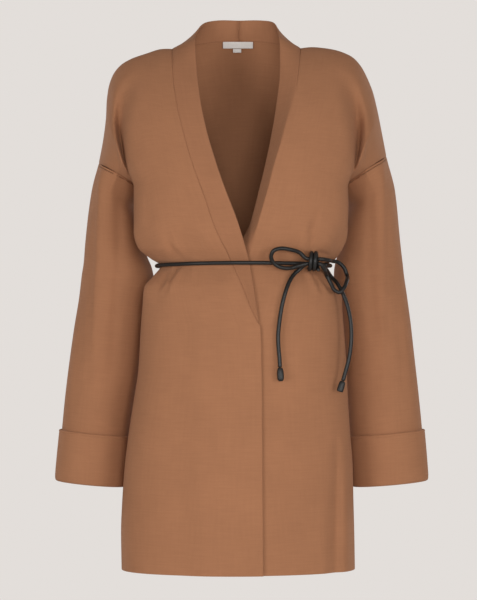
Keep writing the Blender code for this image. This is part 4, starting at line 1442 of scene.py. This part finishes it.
@dataclass(frozen=True)
class KnitFinish:
    """Fine-gauge knit: wales of slanted stitches outside, wavy courses inside."""

    name: str
    colour: tuple
    wale: float = 0.0021
    course: float = 0.0017
    depth: float = 0.00045
    strength: float = 0.55
    spread: float = 0.085

    def material(self) -> bpy.types.Material:
        """Make the material.

        A stitch has two legs in each wale, a squared sine across it, and leans as a
        V by shifting the sine of the course with the distance from the wale's middle.
        The same height also darkens the colour in the hollows between stitches, as painted shade.

        Returns:
            The knit.
        """
        desk = NodeDesk(self.name)
        u, v, spot = desk.place()
        wale = desk.math("DIVIDE", u, self.wale)
        course = desk.math("DIVIDE", v, self.course)
        part = desk.math("FRACT", wale)
        lean = desk.math("ABSOLUTE", desk.math("MULTIPLY_ADD", part, 2.0, -1.0))
        leg = desk.math("SINE", desk.math("MULTIPLY", part, 2.0 * math.pi))
        leg = desk.math("MULTIPLY", leg, leg)
        rise = desk.math("MULTIPLY_ADD", lean, 0.7, course)
        row = desk.math("SINE", desk.math("MULTIPLY", rise, 2.0 * math.pi))
        row = desk.math("MULTIPLY_ADD", row, 0.28, 0.72)
        stitch = desk.math("MULTIPLY", leg, row)
        sway = desk.math("MULTIPLY", desk.math("SINE", desk.math("MULTIPLY", wale, 2.0 * math.pi)), 0.9)
        purl = desk.math("SINE", desk.math("MULTIPLY_ADD", course, 2.0 * math.pi, sway))
        purl = desk.math("MULTIPLY_ADD", purl, 0.5, 0.5)
        inside = desk.nodes.new("ShaderNodeAttribute")
        inside.attribute_name = "inside"
        face = desk.nodes.new("ShaderNodeMix")
        desk.feed(face.inputs[0], inside.outputs["Fac"])
        desk.feed(face.inputs[2], stitch)
        desk.feed(face.inputs[3], purl)
        height = face.outputs[0]
        fuzz = desk.noise(spot, 1900.0, 3.0, 0.7)
        rows = desk.noise(desk.join(desk.math("MULTIPLY", u, 34.0), desk.math("MULTIPLY", v, 420.0)), 1.0, 2.0)
        wales = desk.noise(desk.join(desk.math("MULTIPLY", u, 300.0), desk.math("MULTIPLY", v, 22.0), 3.0), 1.0, 1.0)
        cloud = desk.noise(spot, 16.0, 2.0)
        share = desk.math("MULTIPLY_ADD", fuzz, 0.55, desk.math("MULTIPLY", rows, 0.55))
        share = desk.math("ADD", share, desk.math("MULTIPLY_ADD", wales, 0.30, desk.math("MULTIPLY", cloud, 0.45)))
        # painted shade: the stitch height darkens the colour in the hollows between stitches
        share = desk.math("ADD", share, desk.math("MULTIPLY_ADD", height, 0.30, -0.62))
        low = tuple(c * (1.0 - 2.0 * self.spread) for c in self.colour)
        high = tuple(c * (1.0 + 1.6 * self.spread) for c in self.colour)
        desk.feed(desk.shader.inputs["Base Color"], desk.blend(share, low, high))
        desk.shader.inputs["Roughness"].default_value = 0.88
        desk.shader.inputs["Specular IOR Level"].default_value = 0.22
        desk.shader.inputs["Sheen Weight"].default_value = 0.12
        desk.shader.inputs["Sheen Roughness"].default_value = 0.45
        desk.shader.inputs["Sheen Tint"].default_value = (0.9, 0.62, 0.45, 1.0)
        desk.bump(desk.math("MULTIPLY_ADD", fuzz, 0.25, height), self.strength, self.depth)
        return desk.material


@dataclass(frozen=True)
class LeatherFinish:
    """Black leather cord: fine grain, a soft broken shine and light rubbed spots."""

    name: str = "black_leather"
    colour: tuple = (0.009, 0.0085, 0.008)
    worn: tuple = (0.018, 0.017, 0.016)

    def material(self) -> bpy.types.Material:
        """Make the material from two sizes of grain."""
        desk = NodeDesk(self.name)
        along, _, spot = desk.place()
        grain = desk.noise(spot, 1500.0, 3.0, 0.6)
        wrinkle = desk.noise(desk.join(desk.math("MULTIPLY", along, 320.0), 0.0), 1.0, 2.0)
        patch_shine = desk.noise(spot, 120.0, 2.0)
        desk.feed(desk.shader.inputs["Base Color"], desk.blend(grain, self.colour, self.worn))
        rough = desk.math("MULTIPLY_ADD", patch_shine, 0.16, 0.30)
        desk.feed(desk.shader.inputs["Roughness"], rough)
        desk.shader.inputs["Specular IOR Level"].default_value = 0.32
        desk.bump(desk.math("MULTIPLY_ADD", wrinkle, 0.6, grain), 0.35, 0.0003)
        return desk.material


@dataclass(frozen=True)
class TapeFinish:
    """Off-white woven tape: a close satin weave."""

    name: str = "woven_tape"
    colour: tuple = (0.66, 0.61, 0.57)
    light: tuple = (0.80, 0.76, 0.72)

    def material(self) -> bpy.types.Material:
        """Make the material: the product of two sines is the weave."""
        desk = NodeDesk(self.name)
        u, v, spot = desk.place()
        warp = desk.math("SINE", desk.math("MULTIPLY", u, 2.0 * math.pi / 0.0006))
        weft = desk.math("SINE", desk.math("MULTIPLY", v, 2.0 * math.pi / 0.0005))
        weave = desk.math("MULTIPLY_ADD", desk.math("MULTIPLY", warp, weft), 0.5, 0.5)
        tone = desk.math("MULTIPLY_ADD", desk.noise(spot, 300.0), 0.6, desk.math("MULTIPLY", weave, 0.4))
        desk.feed(desk.shader.inputs["Base Color"], desk.blend(tone, self.colour, self.light))
        desk.shader.inputs["Roughness"].default_value = 0.6
        desk.bump(weave, 0.3, 0.0002)
        return desk.material


@dataclass(frozen=True)
class FloorFinish:
    """Plain pale studio floor."""

    name: str = "pale_floor"
    colour: tuple = (0.70, 0.67, 0.645)

    def material(self) -> bpy.types.Material:
        """Make the material, with a very faint cloud in its tone."""
        desk = NodeDesk(self.name)
        _, _, spot = desk.place()
        low = tuple(c * 0.98 for c in self.colour)
        desk.feed(desk.shader.inputs["Base Color"], desk.blend(desk.noise(spot, 2.0), low, self.colour))
        desk.shader.inputs["Roughness"].default_value = 0.9
        return desk.material


@dataclass
class Studio:
    """Camera, lights, backdrop tone and floor."""

    eye: tuple = (0.0024, -4.0, -0.4064)
    lens: float = 150.0
    backdrop: tuple = (0.767, 0.730, 0.701)
    ambient: float = 0.36
    floor_z: float = -1.25
    floor_radius: float = 2.6

    def light(self, name: str, place: tuple, aim: tuple, size: float, watts: float,
              colour: tuple = (1.0, 1.0, 1.0)) -> None:
        """Hang one soft square light.

        Args:
            name: Its name.
            place: Where it hangs, in metres.
            aim: What it points at.
            size: Length of its side.
            watts: Its power.
            colour: Its tint.
        """
        lamp = bpy.data.lights.new(name, "AREA")
        lamp.shape = "SQUARE"
        lamp.size = size
        lamp.energy = watts
        lamp.color = colour
        hung = bpy.data.objects.new(name, lamp)
        hung.location = place
        to = bpy.data.objects.new(name, None).location.copy()
        to[:] = (aim[0] - place[0], aim[1] - place[1], aim[2] - place[2])
        hung.rotation_euler = to.to_track_quat("-Z", "Y").to_euler()
        bpy.context.scene.collection.objects.link(hung)

    def build(self) -> None:
        """Set up the camera, the world, the lights and the floor."""
        scene = bpy.context.scene
        lens = bpy.data.cameras.new("camera")
        lens.lens = self.lens
        lens.sensor_fit = "VERTICAL"
        lens.sensor_height = 36.0
        lens.clip_end = 50.0
        eye = bpy.data.objects.new("camera", lens)
        eye.location = self.eye
        eye.rotation_euler = (math.radians(90.0), 0.0, 0.0)
        scene.collection.objects.link(eye)
        scene.camera = eye
        world = bpy.data.worlds.new("studio")
        world.use_nodes = True
        nodes, links = world.node_tree.nodes, world.node_tree.links
        back = nodes["Background"]
        back.inputs["Color"].default_value = (*self.backdrop, 1.0)
        ray = nodes.new("ShaderNodeLightPath")
        level = nodes.new("ShaderNodeMapRange")
        level.inputs["To Min"].default_value = self.ambient
        level.inputs["To Max"].default_value = 1.0
        links.new(ray.outputs["Is Camera Ray"], level.inputs["Value"])
        links.new(level.outputs[0], back.inputs["Strength"])
        scene.world = world
        scene.view_settings.view_transform = "Standard"
        self.light("key", (0.3, -3.5, -0.15), (0.0, 0.0, -0.4), 1.2, 40.0)
        self.light("left", (-2.2, -2.9, -0.2), (0.0, 0.0, -0.4), 1.3, 38.0)
        self.light("right", (2.3, -2.8, -0.3), (0.0, 0.0, -0.4), 1.3, 32.0)
        self.light("back_left", (-2.3, 2.9, 0.3), (0.0, 0.0, -0.4), 1.3, 36.0)
        self.light("back_right", (2.3, 2.9, 0.3), (0.0, 0.0, -0.4), 1.3, 36.0)
        turn = np.arange(64) * 2.0 * np.pi / 64
        rim = np.stack([np.cos(turn), np.sin(turn)], axis=1) * self.floor_radius
        points = np.concatenate([np.zeros((1, 2)), rim])
        points = np.concatenate([points, np.full((65, 1), self.floor_z)], axis=1)
        mesh = bpy.data.meshes.new("floor")
        following = np.roll(np.arange(1, 65), -1)
        faces = np.stack([np.zeros(64, int), np.arange(1, 65), following], axis=1)
        mesh.from_pydata(points.tolist(), [], faces.tolist())
        mesh.materials.append(FloorFinish().material())
        floor = bpy.data.objects.new("floor", mesh)
        scene.collection.objects.link(floor)


def main() -> None:
    """Build the studio, the belt, the shell, the cuffs and the label in order."""
    logging.basicConfig(level=logging.INFO, format="%(name)s: %(message)s")
    Studio().build()
    shell = Shell()
    Belt(shell.body).build(LeatherFinish())
    knit = KnitFinish("camel_knit", (0.372, 0.166, 0.082))
    # painted shade: the neckband's knit is the body's yarn made about five percent darker
    band = KnitFinish("camel_band_knit", (0.355, 0.157, 0.078), wale=0.0019, course=0.0016)
    shell.build(knit, band)
    cloth = bpy.data.materials["camel_knit"]
    for side in Side:
        Cuff(shell, side).build(cloth)
    NeckLabel().build(TapeFinish())


if __name__ == "__main__":
    main()
